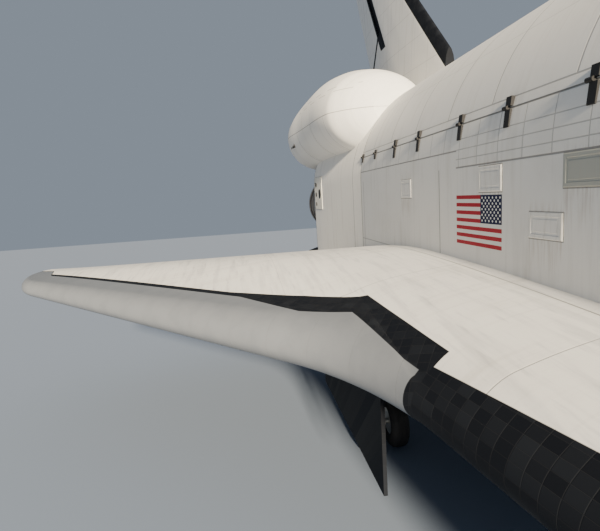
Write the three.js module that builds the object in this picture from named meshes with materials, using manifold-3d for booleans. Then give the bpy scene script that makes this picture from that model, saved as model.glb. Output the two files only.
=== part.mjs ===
// A winged space shuttle standing on its landing gear, in millimetres, +Z up.
// The airframe is drawn level: x to port, y aft of the nose tip, z above the flat belly.
// It is then pitched nose-down onto its wheels, with the origin on the floor below its middle.
import * as THREE from "three";
import { mergeVertices } from "three/addons/utils/BufferGeometryUtils.js";
import Module from "manifold-3d";

const wasm = await Module();
wasm.setup();
const { abs, sin, cos, sqrt, max, min, sign, PI } = Math;

// Attitude on the wheels
const PITCH = THREE.MathUtils.degToRad(3.4);
const NOSE_HEIGHT = 1477.5; // of the airframe's zero point above the floor
const GAP = 0.3; // between pieces that touch
const RUNNING = 15; // between a moving piece and its neighbour

// Fuselage
const HALF_WIDTH = 2667;
const ROOF = 5537;
const ARC_CENTRE = ROOF - HALF_WIDTH; // of the round upper half
const BAY_START = 8661;
const BAY_END = 27229;
const BASE = 32334; // the flat rear face that the engines leave
const WALL = 120;
const BAY_RADIUS = 2286;
const BAY_CENTRE = 2997;
const HINGE_HEIGHT = 3505; // of the bay doors
const DOOR_THICKNESS = 110;
const SHELL_POINTS = 36;

// Wing
const ROOT = HALF_WIDTH;
const TIP = 11896;
const WING_LINE = 15265; // where the 45 degree leading edge would meet the centreline
const GLOVE_START = 7000; // of the 81 degree leading edge at the wing root
const GLOVE_SLOPE = 6.314;
const BEND = { from: 4500, corner: 4775, to: 5700 }; // half-spans where glove turns into wing
const TRAILING_LINE = 32773;
const TRAILING_SLOPE = 0.1773;
const HINGE_LINE = 29261; // of the elevons
const DIHEDRAL = 0.0611;
const EDGE_PANELS_START = 4330; // half-span where the grey edge panels begin
const EDGE_PANELS_DEPTH = 760;
const HINGE_RADIUS = { root: 350, tip: 160 };
const ELEVON_SPLIT = 7940;
const ELEVON_CLEARANCE = 60; // between the inner elevon and the fuselage

// Fin
const FIN = { front: 26467, root: 5537, tip: 13564, rootChord: 6823, tipChord: 2755 };
const RUDDER = { low: 8350, high: 13200, share: 0.6 }; // heights at the hinge; share: of the chord ahead of it

// Running gear
const MAIN = { y: 23800, x: 3455, tyre: 565, width: 400, spread: 330, rim: 275 };
const NOSE = { y: 3632, x: 0, tyre: 406, width: 215, spread: 205, rim: 200 };
const WHEEL_SIDES = 20;
const WHEEL_START = PI / WHEEL_SIDES - PITCH; // puts a flat of the tyre on the floor

const WHITE = { color: 0xe9e6de, roughness: 0.6, metalness: 0 };
const BLACK = { color: 0x1b1c20, roughness: 0.75, metalness: 0 };
const GREY = { color: 0xa9adb2, roughness: 0.5, metalness: 0 };
const METAL = { color: 0x8d9094, roughness: 0.4, metalness: 0.8 };
const RUBBER = { color: 0x161616, roughness: 0.9, metalness: 0 };
const GLASS = { color: 0x101418, roughness: 0.1, metalness: 0 };

const mix = (a, b, t) => a + (b - a) * t;
const smooth = (t) => {
  const u = min(1, max(0, t));
  return u * u * (3 - 2 * u);
};

// Solids

// The closed solid of a geometry, ready to be cut or joined.
function solid(geometry) {
  const g = geometry.index ? geometry.toNonIndexed() : geometry.clone();
  g.deleteAttribute("normal");
  g.deleteAttribute("uv");
  const merged = mergeVertices(g, 1e-3);
  return new wasm.Manifold(
    new wasm.Mesh({
      numProp: 3,
      vertProperties: merged.attributes.position.array,
      triVerts: new Uint32Array(merged.index.array),
    }),
  );
}

function geometryOf(made) {
  const mesh = made.getMesh();
  return new THREE.BufferGeometry()
    .setAttribute("position", new THREE.BufferAttribute(mesh.vertProperties, 3))
    .setIndex(new THREE.BufferAttribute(mesh.triVerts, 1))
    .toNonIndexed();
}

const join = (...solids) => solids.reduce((a, b) => a.add(b));
const cut = (body, ...tools) => tools.reduce((a, b) => a.subtract(b), body);

function box(x, y, z) {
  const g = new THREE.BoxGeometry(x[1] - x[0], y[1] - y[0], z[1] - z[0]);
  g.translate((x[0] + x[1]) / 2, (y[0] + y[1]) / 2, (z[0] + z[1]) / 2);
  return solid(g);
}

// A round bar between two points, tapered where the radii differ.
function bar(from, to, radius, endRadius = radius, sides = 16) {
  const a = new THREE.Vector3(...from);
  const b = new THREE.Vector3(...to);
  const g = new THREE.CylinderGeometry(endRadius, radius, a.distanceTo(b), sides);
  const turn = new THREE.Quaternion().setFromUnitVectors(
    new THREE.Vector3(0, 1, 0),
    b.clone().sub(a).normalize(),
  );
  g.applyQuaternion(turn).translate(...a.add(b).multiplyScalar(0.5).toArray());
  return solid(g);
}

// A skin over rings of points that all have the same count, closed by a flat cap at each end.
function loft(rings) {
  const count = rings[0].length;
  const faces = [];
  const at = (ring, i) => ring * count + (i % count);
  for (let r = 0; r + 1 < rings.length; r++)
    for (let i = 0; i < count; i++) {
      const [a, b, c, d] = [at(r, i), at(r + 1, i), at(r + 1, i + 1), at(r, i + 1)];
      // The diagonals of the two halves mirror each other.
      if (i < count / 2) faces.push(a, b, c, a, c, d);
      else faces.push(a, b, d, d, b, c);
    }
  for (const [ring, flip] of [[0, false], [rings.length - 1, true]]) {
    for (const [a, b, c] of capFaces(rings[ring]))
      faces.push(...(flip ? [c, b, a] : [a, b, c]).map((i) => at(ring, i)));
  }
  const g = new THREE.BufferGeometry();
  g.setAttribute("position", new THREE.Float32BufferAttribute(rings.flat(2), 3));
  g.setIndex(faces);
  const made = solid(g);
  return made.volume() > 0 ? made : solid(flipped(g));
}

// The triangles of one flat ring, wound as the ring runs.
function capFaces(ring) {
  const areas = [0, 1, 2].map((k) => {
    const [u, v] = [(k + 1) % 3, (k + 2) % 3];
    return abs(ring.reduce((sum, p, i) => {
      const q = ring[(i + 1) % ring.length];
      return sum + p[u] * q[v] - q[u] * p[v];
    }, 0));
  });
  const flat = areas.indexOf(max(...areas));
  const [u, v] = [0, 1, 2].filter((k) => k !== flat);
  // The small shifts keep points in a straight row from being dropped.
  const outline = ring.map((p, i) => new THREE.Vector2(p[u] + 0.02 * sin(9 * i), p[v] + 0.02 * cos(5 * i)));
  const faces = THREE.ShapeUtils.triangulateShape(outline, []);
  return THREE.ShapeUtils.isClockWise(outline) ? faces.map(([a, b, c]) => [a, c, b]) : faces;
}

function flipped(g) {
  const index = [...g.index.array];
  for (let i = 0; i < index.length; i += 3)
    [index[i + 1], index[i + 2]] = [index[i + 2], index[i + 1]];
  return g.clone().setIndex(index);
}

// A plate with its outline in the xy plane, from z low to z high.
function plan(outline, low, high) {
  const shape = new THREE.Shape(outline.map(([x, y]) => new THREE.Vector2(x, y)));
  const g = new THREE.ExtrudeGeometry(shape, { depth: high - low, bevelEnabled: false });
  return solid(g.translate(0, 0, low));
}

// A plate with its outline in the yz plane, from x low to x high.
function side(outline, low, high) {
  const shape = new THREE.Shape(outline.map(([y, z]) => new THREE.Vector2(y, z)));
  const g = new THREE.ExtrudeGeometry(shape, { depth: high - low, bevelEnabled: false });
  g.applyMatrix4(new THREE.Matrix4().set(0, 0, 1, low, 1, 0, 0, 0, 0, 1, 0, 0, 0, 0, 0, 1));
  return solid(g);
}

// A plate with its outline in the xz plane, from y low to y high.
function front(outline, low, high) {
  const shape = new THREE.Shape(outline.map(([x, z]) => new THREE.Vector2(x, z)));
  const g = new THREE.ExtrudeGeometry(shape, { depth: high - low, bevelEnabled: false });
  return solid(g.rotateX(PI / 2).translate(0, high, 0));
}

// A turned body about the x axis: the profile's rows are distance along the axis and radius.
function turned(profile, sides, start = 0) {
  const points = profile.map(([along, radius]) => new THREE.Vector2(radius, along));
  const g = new THREE.LatheGeometry(points, sides);
  const made = g.rotateY(start).rotateZ(-PI / 2);
  const body = solid(made);
  if (body.volume() > 0) return body;
  return solid(flipped(mergeVertices(stripped(made), 1e-3)));
}

function stripped(g) {
  g.deleteAttribute("normal");
  g.deleteAttribute("uv");
  return g;
}

const mirrored = (body) => body.mirror([1, 0, 0]);

// Fuselage skin

// Columns: y aft of the nose, bottom, top, height of the widest line, half width,
// and how square the lower and the upper half are (2 is round).
const HULL = [
  [0, 1466, 1474, 1470, 4, 2, 2],
  [60, 1270, 1680, 1465, 220, 2, 2],
  [250, 1000, 1960, 1400, 530, 2.1, 2],
  [600, 730, 2290, 1290, 900, 2.3, 2],
  [1200, 500, 2640, 1160, 1280, 2.6, 2],
  [2000, 340, 2985, 1060, 1590, 3, 2.05],
  [2900, 230, 3290, 990, 1830, 3.3, 2.1],
  [3700, 170, 3580, 960, 2010, 3.6, 2.15],
  [4300, 135, 4120, 990, 2130, 3.9, 2.1],
  [4900, 110, 4700, 1100, 2240, 4.2, 2.1],
  [5400, 90, 5090, 1300, 2330, 4.6, 2.1],
  [6000, 70, 5350, 1600, 2420, 5.5, 2.1],
  [6800, 45, 5490, 2050, 2520, 7, 2.06],
  [7700, 20, 5530, 2500, 2610, 10, 2.02],
  [8661, 0, 5537, 2870, 2667, 16, 2],
  [27160, 0, 5537, 2870, 2667, 16, 2],
  [27560, 0, 5537, 2870, 2698, 16, 2],
  [32160, 0, 5537, 2870, 3056, 16, 2],
  [32334, 0, 5537, 2870, 3070, 16, 2],
];

// The seven columns at any y, on a curve that doesn't overshoot the rows.
function hullRow(y) {
  const k = HULL.slice(1, -1).filter((row) => row[0] < y).length;
  const [a, b] = [HULL[k], HULL[k + 1]];
  const t = (y - a[0]) / (b[0] - a[0]);
  const slope = (i, c) => {
    if (i <= 0 || i >= HULL.length - 1) return 0;
    const left = (HULL[i][c] - HULL[i - 1][c]) / (HULL[i][0] - HULL[i - 1][0]);
    const right = (HULL[i + 1][c] - HULL[i][c]) / (HULL[i + 1][0] - HULL[i][0]);
    return left * right <= 0 ? 0 : (2 * left * right) / (left + right);
  };
  const h = b[0] - a[0];
  return a.map((_, c) => {
    const [p, q] = [a[c], b[c]];
    const [m, n] = [slope(k, c) * h, slope(k + 1, c) * h];
    const d = q - p;
    return p + t * (m + t * (3 * d - 2 * m - n + t * (m + n - 2 * d)));
  });
}

// One ring of the skin at y, moved out by offset.
function hullRing(y, offset = 0) {
  const [, bottom, top, mid, width, low, up] = hullRow(y);
  return Array.from({ length: SHELL_POINTS }, (_, i) => {
    const a = (i / SHELL_POINTS) * 2 * PI - PI / 2;
    const power = 2 / (sin(a) < 0 ? low : up);
    const reach = sin(a) < 0 ? mid - bottom + offset : top - mid + offset;
    const x = sign(cos(a)) * (width + offset) * abs(cos(a)) ** power;
    let share = abs(sin(a)) ** power;
    if (sin(a) < 0 && low > 8 && share > 0.995) share = 1; // keeps the belly flat
    return [abs(cos(a)) < 1e-9 ? 0 : x, y, mid + sign(sin(a)) * reach * share];
  });
}

function hull(from, to, offset = 0) {
  const rows = HULL.map((row) => row[0]).filter((y) => y > from + 20 && y < to - 20);
  return loft([from, ...rows, to].map((y) => hullRing(y, offset)));
}

// Forward fuselage

const CAP_END = 620;
const WELL = { from: 1750, to: 4150, half: 560, top: 1500 };
const MODULE = { from: 900, to: 3350, floor: 0.62 }; // thruster module in the top of the nose
const CABIN = { from: 4350, to: 8480, floor: 900 };
const HATCH = { y: 6900, z: 1950, radius: 510 };

// Windows by where they are cut: outlines in the front, side or plan view, port side.
const FRONT_WINDOWS = [
  [[70, 3860], [720, 3820], [660, 4480], [60, 4530]],
  [[850, 3800], [1400, 3640], [1230, 4240], [770, 4450]],
];
const SIDE_WINDOW = [[4620, 3420], [5330, 3560], [5420, 4180], [4980, 4080]];
const ROOF_WINDOW = [[180, 5750], [640, 5770], [640, 6330], [180, 6330]];

function windowTools() {
  const tools = [];
  for (const outline of FRONT_WINDOWS) {
    const tool = front(outline, 3500, 5300);
    tools.push(tool, mirrored(tool));
  }
  const flank = side(SIDE_WINDOW, 900, 2600);
  const roof = plan(ROOF_WINDOW, 4900, 5800);
  return [...tools, flank, mirrored(flank), roof, mirrored(roof)];
}

function thrusterModule(gap) {
  const floor = [[MODULE.from - gap, 2150 - gap], [MODULE.to + gap, 2700 - gap]];
  const outline = [...floor, [MODULE.to + gap, 5000], [MODULE.from - gap, 5000]];
  return side(outline, -930 - gap, 930 + gap);
}

// Columns: x, y and radius of the thruster mouths, which point up, then those that point sideways (z instead of x).
const UP_THRUSTERS = [[-300, 1500, 95], [0, 1500, 95], [300, 1500, 95]];
const SIDE_THRUSTERS = [[2560, 2350, 90], [2700, 2750, 90], [2480, 2800, 90]];

function noseCap() {
  return loft([0, 25, 60, 130, 250, 420, CAP_END].map((y) => hullRing(y)));
}

function noseModule() {
  const holes = UP_THRUSTERS.map(([x, y, r]) => bar([x, y, 2300], [x, y - 250, 3100], r, r, 12));
  for (const [z, y, r] of SIDE_THRUSTERS)
    holes.push(bar([500, y, z - 60], [1600, y, z + 60], r, r, 12), bar([-500, y, z - 60], [-1600, y, z + 60], r, r, 12));
  const block = hull(MODULE.from - 200, MODULE.to + 200).intersect(thrusterModule(0));
  return cut(block, ...holes);
}

function hatchDisc(radius, from, to) {
  return bar([from, HATCH.y, HATCH.z], [to, HATCH.y, HATCH.z], radius, radius, 32);
}

function forwardFuselage() {
  const shell = hull(CAP_END + GAP, BAY_START - GAP);
  const cabin = hull(CABIN.from, CABIN.to, -WALL).intersect(
    box([-3000, 3000], [CABIN.from, CABIN.to], [CABIN.floor, 6000]),
  );
  const well = box([-WELL.half, WELL.half], [WELL.from, WELL.to], [-100, WELL.top]);
  const rear = plan([[250, 8300], [950, 8300], [950, 8900], [250, 8900]], 4100, 4700);
  const { x, z } = hatchHinge;
  const knuckle = bar([x, HATCH.y - 150, z], [x, HATCH.y + 150, z], 28, 28, 12);
  const bracket = box([x - 120, x + 5], [HATCH.y - 150, HATCH.y + 150], [z - 120, z]);
  const bare = cut(
    shell,
    cabin,
    well,
    thrusterModule(GAP),
    ...windowTools(),
    hatchDisc(HATCH.radius + 10, 1500, 3000),
    rear,
    mirrored(rear),
  );
  return join(bare, knuckle, bracket);
}

// Cabin

const GLAZING = 26;

// One band of glazing behind the six forward windows, just inside the skin.
function windshield() {
  const inner = WALL + GAP;
  const band = hull(CABIN.from, CABIN.to, -inner).subtract(hull(CABIN.from, CABIN.to, -inner - GLAZING));
  const outline = [[4440, 3300], [5520, 3300], [5520, 4280], [5080, 4620], [4440, 4620]];
  return band.intersect(side(outline, -3000, 3000));
}

function roofGlass() {
  const inner = WALL + GAP;
  const band = hull(CABIN.from, CABIN.to, -inner).subtract(hull(CABIN.from, CABIN.to, -inner - GLAZING));
  return band.intersect(plan([[-740, 5680], [740, 5680], [740, 6400], [-740, 6400]], 4800, 5600));
}

function rearGlass() {
  return box([-1050, 1050], [CABIN.to - GLAZING - GAP, CABIN.to - GAP], [4000, 4800]);
}

function flightDeck() {
  const deck = hull(4500, 8400, -WALL - 8).intersect(box([-3000, 3000], [4600, 8400], [2680, 2760]));
  const board = side([[4700, 2700], [5350, 2700], [5350, 3250], [5150, 3650], [4700, 3250]], -1350, 1350);
  const stand = box([-300, 300], [5300, 6300], [2700, 3150]);
  return join(deck, board.intersect(hull(4500, 6000, -WALL - 40)), stand);
}

function seat(x) {
  const pan = box([x - 240, x + 240], [6000, 6560], [3100, 3200]);
  const back = side([[6500, 3120], [6640, 3120], [6800, 4060], [6680, 4060]], x - 240, x + 240);
  const head = box([x - 140, x + 140], [6700, 6800], [4020, 4280]);
  const foot = box([x - 180, x + 180], [6150, 6500], [2760 + GAP, 3110]);
  return join(pan, back, head, foot);
}

const hatchGlass = () => bar([2380, HATCH.y, HATCH.z], [2410, HATCH.y, HATCH.z], 130, 130, 24);

function hatch() {
  const plug = hatchDisc(HATCH.radius, 2300, 3000).intersect(hull(6000, 7800)).subtract(hull(5900, 7900, -WALL));
  const knuckles = [-220, 220].map((d) => bar(
    [hatchHinge.x, HATCH.y + d - 60, hatchHinge.z], [hatchHinge.x, HATCH.y + d + 60, hatchHinge.z], 28, 28, 12));
  const arms = [-220, 220].flatMap((d) => [
    box([hatchHinge.x - 28, hatchHinge.x + 5], [HATCH.y + d - 40, HATCH.y + d + 40], [hatchHinge.z, hatchHinge.z + 170]),
    box([hatchHinge.x - 130, hatchHinge.x + 5], [HATCH.y + d - 40, HATCH.y + d + 40], [hatchHinge.z + 92, hatchHinge.z + 170]),
  ]);
  return cut(join(plug, ...knuckles, ...arms), hatchDisc(140, 1500, 3200));
}

// Where a point at height z lies on the port skin at y.
function skinX(y, z) {
  const [, bottom, top, mid, width, low, up] = hullRow(y);
  const share = z < mid ? (mid - z) / (mid - bottom) : (z - mid) / (top - mid);
  const power = z < mid ? low : up;
  return width * (1 - share ** power) ** (1 / power);
}

const hatchHinge = { x: skinX(HATCH.y + 280, HATCH.z - HATCH.radius) + 34, z: HATCH.z - HATCH.radius - 6 };

// Mid fuselage and bay doors

// Columns of the hinge fittings: their places along the bay.
const HINGES = [9400, 10700, 12100, 13500, 14900, 16300, 17700, 19100, 20500, 21740, 23360, 24640, 26030, 27120];
const HINGE_ANGLE = Math.asin((HINGE_HEIGHT - ARC_CENTRE) / HALF_WIDTH);
const AXIS_OUT = 34; // of the door hinge beyond the skin
const doorAxis = {
  x: (HALF_WIDTH + AXIS_OUT) * cos(HINGE_ANGLE),
  z: ARC_CENTRE + (HALF_WIDTH + AXIS_OUT) * sin(HINGE_ANGLE),
};
const FITTING = { half: 80, reach: 520, thickness: 28 };

// A strip of the round skin between two angles and two radii, from y to y.
function arcStrip(from, to, inner, outer, y, steps) {
  const ring = [];
  for (let i = 0; i <= steps; i++) ring.push([outer, mix(from, to, i / steps)]);
  for (let i = steps; i >= 0; i--) ring.push([inner, mix(from, to, i / steps)]);
  return front(ring.map(([r, a]) => [r * cos(a), ARC_CENTRE + r * sin(a)]), y[0], y[1]);
}

function midFuselage() {
  const shell = hull(BAY_START, BAY_END - GAP).intersect(
    box([-4000, 4000], [BAY_START, BAY_END], [-10, HINGE_HEIGHT]),
  );
  const trough = bar([0, BAY_START - 50, BAY_CENTRE], [0, BAY_END + 50, BAY_CENTRE], BAY_RADIUS, BAY_RADIUS, 36);
  const above = box([-BAY_RADIUS, BAY_RADIUS], [BAY_START - 50, BAY_END + 50], [BAY_CENTRE, 6000]);
  const reach = FITTING.reach / HALF_WIDTH;
  const leaves = HINGES.flatMap((y) => {
    const leaf = arcStrip(HINGE_ANGLE - reach * 0.55, HINGE_ANGLE - 0.012, HALF_WIDTH - 60,
      HALF_WIDTH + FITTING.thickness, [y - FITTING.half, y + FITTING.half], 2);
    return [leaf, mirrored(leaf)];
  });
  return join(cut(shell, trough, above), ...leaves);
}

// The doors open about the hinge by this half gap at the roof line.
function bayDoor() {
  const [low, high] = [HINGE_ANGLE - 0.02, PI / 2 - 0.003];
  const y = [BAY_START + 6, BAY_END - 6];
  const strip = arcStrip(low, high, HALF_WIDTH - DOOR_THICKNESS, HALF_WIDTH, y, 12);
  const panel = strip.subtract(box([2000, 3000], [BAY_START, BAY_END], [3000, HINGE_HEIGHT + 6]));
  const reach = FITTING.reach / HALF_WIDTH;
  const leaves = HINGES.map((at) => arcStrip(HINGE_ANGLE + 0.012, HINGE_ANGLE + reach * 0.45, HALF_WIDTH - 60,
    HALF_WIDTH + FITTING.thickness, [at - FITTING.half, at + FITTING.half], 2));
  return join(panel, ...leaves);
}

// Aft fuselage

const ENGINES = [
  { name: "main_engine_top", x: 0, y: 30734, z: 4089, dome: 1400, rim: 960, tilt: 16, cant: 0 },
  { name: "main_engine_port", x: 1346, y: 31318, z: 1524, dome: 1250, rim: 900, tilt: 10, cant: 3.5 },
  { name: "main_engine_starboard", x: -1346, y: 31318, z: 1524, dome: 1250, rim: 900, tilt: 10, cant: -3.5 },
];
const DOME_WALL = 60;
const ENGINE_SIDES = 20;
const GIMBAL = THREE.MathUtils.degToRad(10.5);
const FLAP_HINGE = { y: 32944, z: 255, radius: 240, half: 3000 };
const LIP_END = FLAP_HINGE.y - FLAP_HINGE.radius * 0.5;

// The engine's frame: its own x axis points out of the nozzle.
function engineFrame(engine) {
  const tilt = THREE.MathUtils.degToRad(engine.tilt);
  const cant = THREE.MathUtils.degToRad(engine.cant);
  const out = new THREE.Vector3(sin(cant) * cos(tilt), cos(cant) * cos(tilt), sin(tilt));
  const turn = new THREE.Quaternion().setFromUnitVectors(new THREE.Vector3(1, 0, 0), out);
  return new THREE.Matrix4().compose(new THREE.Vector3(engine.x, engine.y, engine.z), turn, new THREE.Vector3(1, 1, 1));
}

const place = (body, matrix) => body.transform(matrix.elements);

// Points on a ball of this radius, from one angle off the axis to another.
function arcPoints(radius, from, to, steps) {
  return Array.from({ length: steps + 1 }, (_, i) => {
    const a = mix(from, to, i / steps);
    return [radius * cos(a), radius * sin(a)];
  });
}

// The hollow that an engine's dome turns in, with its round mouth.
function engineHollow(engine) {
  const wide = Math.asin(engine.rim / engine.dome) + 2 * GIMBAL + 0.06;
  const steps = 8;
  const radius = (engine.dome + RUNNING) / (cos(PI / ENGINE_SIDES) * cos(wide / steps / 2));
  const ball = arcPoints(radius, wide, 0, steps);
  const mouth = engine.rim + 30;
  const floor = (engine.dome - 3 * DOME_WALL) * cos(wide);
  const hollow = turned([[floor, 0], [floor, radius * sin(wide)], ...ball], ENGINE_SIDES);
  const opening = turned([[floor, 0], [floor, mouth], [4000, mouth], [4000, 0]], ENGINE_SIDES);
  return place(join(hollow, opening), engineFrame(engine));
}

function aftFuselage() {
  const block = hull(BAY_END, BASE);
  const lip = side([[BASE - 200, 0], [LIP_END, 0], [LIP_END - 60, 300], [LIP_END - 160, 480], [BASE - 200, 700]], -3030, 3030);
  const collars = ENGINES.map((engine) => {
    const reach = engine.dome * cos(Math.asin(engine.rim / engine.dome));
    const outline = [[reach - 900, 0], [reach - 900, engine.rim + 110], [reach + 60, engine.rim + 110], [reach + 60, 0]];
    return place(turned(outline, ENGINE_SIDES), engineFrame(engine));
  });
  const flapRoom = bar([-3100, FLAP_HINGE.y, FLAP_HINGE.z], [3100, FLAP_HINGE.y, FLAP_HINGE.z],
    FLAP_HINGE.radius + RUNNING, FLAP_HINGE.radius + RUNNING, 24);
  const step = box([-1330, 1330], [31800, BASE + 500], [2900, 6000]);
  return cut(join(cut(block, step), lip, ...collars), ...ENGINES.map(engineHollow), flapRoom);
}

// Engines

const BELL = { throatAt: 1197, throat: 131, length: 2880, mouth: 1150, wall: 44, power: 0.58 };

const bellRadius = (d) => BELL.throat + (BELL.mouth - BELL.throat) * max(0, d / BELL.length) ** BELL.power;

function mainEngine(engine) {
  const inner = [];
  const outer = [];
  for (let i = 0; i <= 6; i++) {
    const d = BELL.length * (i / 6) ** 1.5;
    inner.push([BELL.throatAt + d, bellRadius(d)]);
    outer.push([BELL.throatAt + d, bellRadius(d) + BELL.wall]);
  }
  const wide = Math.asin(engine.rim / engine.dome) + GIMBAL + 0.03;
  const from = Math.acos(min(1, BELL.throatAt / engine.dome)) * 0.35;
  const cap = [
    ...arcPoints(engine.dome - DOME_WALL, from, wide, 5),
    ...arcPoints(engine.dome, wide, from, 5),
  ];
  const bell = turned([[BELL.throatAt - 60, 0], [BELL.throatAt - 60, 190], ...outer, ...inner.reverse(), [BELL.throatAt, 0]], ENGINE_SIDES);
  const dome = turned([[(engine.dome - DOME_WALL) * cos(from), 0], ...cap, [engine.dome * cos(from), 0]], ENGINE_SIDES);
  const inside = turned([[BELL.throatAt, 0], ...[...inner].reverse(), [BELL.throatAt + BELL.length, 0]], ENGINE_SIDES);
  return place(join(bell, cut(dome, inside)), engineFrame(engine));
}

// Pods beside the fin

// Columns: y, centre x, centre z, half width, half height.
const POD = [
  [27300, 1640, 4830, 560, 420],
  [27400, 1670, 4850, 830, 640],
  [27700, 1770, 4890, 1190, 940],
  [28200, 1940, 4910, 1390, 1150],
  [29000, 2068, 4980, 1406, 1250],
  [30100, 2190, 5040, 1385, 1290],
  [31300, 2297, 5005, 1385, 1275],
  [32500, 2402, 4898, 1405, 1270],
  [33200, 2464, 4795, 1386, 1236],
  [33480, 2489, 4754, 1253, 1113],
];
const POD_POINTS = 24;
const SMALL_ENGINE = { x: 2235, y: 33150, z: 5234, tilt: 15.8, cant: 6.5, mouth: 584, length: 1500 };

function podShape() {
  return loft(POD.map(([y, x, z, a, b]) => Array.from({ length: POD_POINTS }, (_, i) => {
    const t = (i / POD_POINTS) * 2 * PI;
    return [x + a * cos(t), y, z + b * sin(t)];
  })));
}

const smallNozzle = (grow) => {
  const steps = Array.from({ length: 6 }, (_, i) => i / 5);
  const outer = steps.map((t) => [t * SMALL_ENGINE.length, 150 + (SMALL_ENGINE.mouth - 150) * t ** 0.62 + grow]);
  const inner = steps.map((t) => [t * SMALL_ENGINE.length + 25, 115 + (SMALL_ENGINE.mouth - 150) * t ** 0.62]).reverse();
  const end = grow ? [[SMALL_ENGINE.length, 0]] : [...inner.map(([a, r]) => [min(a, SMALL_ENGINE.length), r]), [40, 0]];
  const front = grow ? -60 : -30;
  return place(turned([[front, 0], [front, 150 + grow], ...outer, ...end], 20), engineFrame(SMALL_ENGINE));
};

function pod() {
  const block = box([2650, 3350], [32900, 33900], [3900, 4560]);
  const rounded = block.intersect(bar([3000, 32800, 4350], [3000, 34000, 4350], 460, 420, 12));
  const body = join(podShape(), rounded);
  return cut(body, hull(BAY_END - 200, BASE + GAP, GAP), smallNozzle(90));
}

// Wing

function leadingEdge(x) {
  const glove = GLOVE_START + (x - ROOT) * GLOVE_SLOPE;
  const wing = WING_LINE + x;
  if (x <= BEND.from) return glove;
  if (x >= BEND.to) return wing + tipCurve(x);
  const [a, b, c] = [BEND.from - 2 * BEND.corner + BEND.to, 2 * (BEND.corner - BEND.from), BEND.from - x];
  const t = (-b + sqrt(b * b - 4 * a * c)) / (2 * a);
  const y0 = GLOVE_START + (BEND.from - ROOT) * GLOVE_SLOPE;
  const y1 = WING_LINE + BEND.corner;
  return (1 - t) ** 2 * y0 + 2 * t * (1 - t) * y1 + t * t * (WING_LINE + BEND.to);
}

const TIP_TURN = 620; // span over which the leading edge rounds into the tip

const tipCurve = (x) => {
  const u = max(0, (x - TIP + TIP_TURN) / TIP_TURN);
  return 900 * (1 - sqrt(max(0, 1 - min(1, u) ** 2.4)));
};

const spanShare = (x) => (x - ROOT) / (TIP - ROOT);
const hingeRadius = (x) => mix(HINGE_RADIUS.root, HINGE_RADIUS.tip, spanShare(x));
const hingeHeight = (x) => HINGE_RADIUS.root + (DIHEDRAL + (HINGE_RADIUS.tip - HINGE_RADIUS.root) / (TIP - ROOT)) * (x - ROOT);
const edgeThickness = (x) => (x < BEND.corner ? 760 : mix(760, 360, (x - BEND.corner) / (TIP - BEND.corner)));
const mostThickness = (x) => 0.1 * (TRAILING_LINE - WING_LINE - (1 + TRAILING_SLOPE) * x);

// How far behind the leading edge its rounding ends, and the share of the thickness reached on the way.
function rounding(x) {
  const step = 5;
  const sweep = (leadingEdge(x + step) - leadingEdge(x - step)) / (2 * step);
  const wanted = 0.62 * edgeThickness(x) * min(6.4, sqrt(1 + sweep * sweep));
  const depth = min(wanted, 0.4 * (HINGE_LINE - leadingEdge(x)));
  return { depth, at: (d) => sqrt(1 - (1 - min(1, max(0, d / depth))) ** 2) };
}

// Full thickness at x and y, before the edge is rounded.
function thickness(x, y) {
  const edge = leadingEdge(x);
  const crest = WING_LINE + x + 0.36 * (TRAILING_LINE - WING_LINE - (1 + TRAILING_SLOPE) * x);
  const top = max(mostThickness(x), edgeThickness(x));
  if (y < crest) return mix(edgeThickness(x), top, smooth((y - edge) / (crest - edge)) ** 0.9);
  const back = (y - crest) / (HINGE_LINE - crest);
  return mix(top, 2 * hingeRadius(x), back ** 1.6);
}

const NOSE_STEPS = [0.012, 0.06, 0.16, 0.34, 0.62, 1];
const BACK_STEPS = [0.1, 0.24, 0.42, 0.6, 0.8];
const COVE = { up: 0.733, down: 0.471, steps: 6 }; // how far the lips reach round the elevon, in radians from above and below

// The wing's outline at half-span x, with the round hollow for the elevon's nose.
function wingRing(x, shrink = 1) {
  const edge = leadingEdge(x);
  const bottom = DIHEDRAL * (x - ROOT);
  const { depth, at } = rounding(x);
  const radius = hingeRadius(x) + RUNNING;
  const lipUp = HINGE_LINE - radius * sin(COVE.up);
  const lipDown = HINGE_LINE - radius * sin(COVE.down);
  const nose = 0.42 * edgeThickness(x);
  const point = (y, upper) => {
    const full = thickness(x, y);
    const level = bottom + nose;
    const share = at(y - edge);
    const z = upper ? level + (full - nose) * share : level - nose * share;
    return [x, y, mix(bottom + full * 0.45, z, shrink)];
  };
  const steps = NOSE_STEPS.map((t) => edge + t * depth);
  const start = edge + depth;
  const back = (lip) => BACK_STEPS.map((t) => mix(start, lip, t));
  const upper = [...steps, ...back(lipUp), lipUp].map((y) => point(y, true));
  const lower = [...steps, ...back(lipDown), lipDown].map((y) => point(y, false)).reverse();
  const axis = hingeHeight(x);
  const cove = Array.from({ length: COVE.steps + 1 }, (_, i) => {
    const a = mix(PI / 2 + COVE.up, 1.5 * PI - COVE.down, i / COVE.steps);
    return [x, HINGE_LINE + radius * cos(a), axis + shrink * radius * sin(a)];
  });
  return [[x, edge, bottom + nose], ...upper, ...cove, ...lower];
}

const WING_STATIONS = [2400, 2667, 3000, 3400, 3800, 4200, 4500, 4700, 4900, 5150, 5450, 5700, 6500, 7600, 9000, 10400, 11276, 11600, 11780];
const WHEEL_WELL = { x: [2760, 4400], y: [20350, 24350], z: [-200, 900] };

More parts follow.
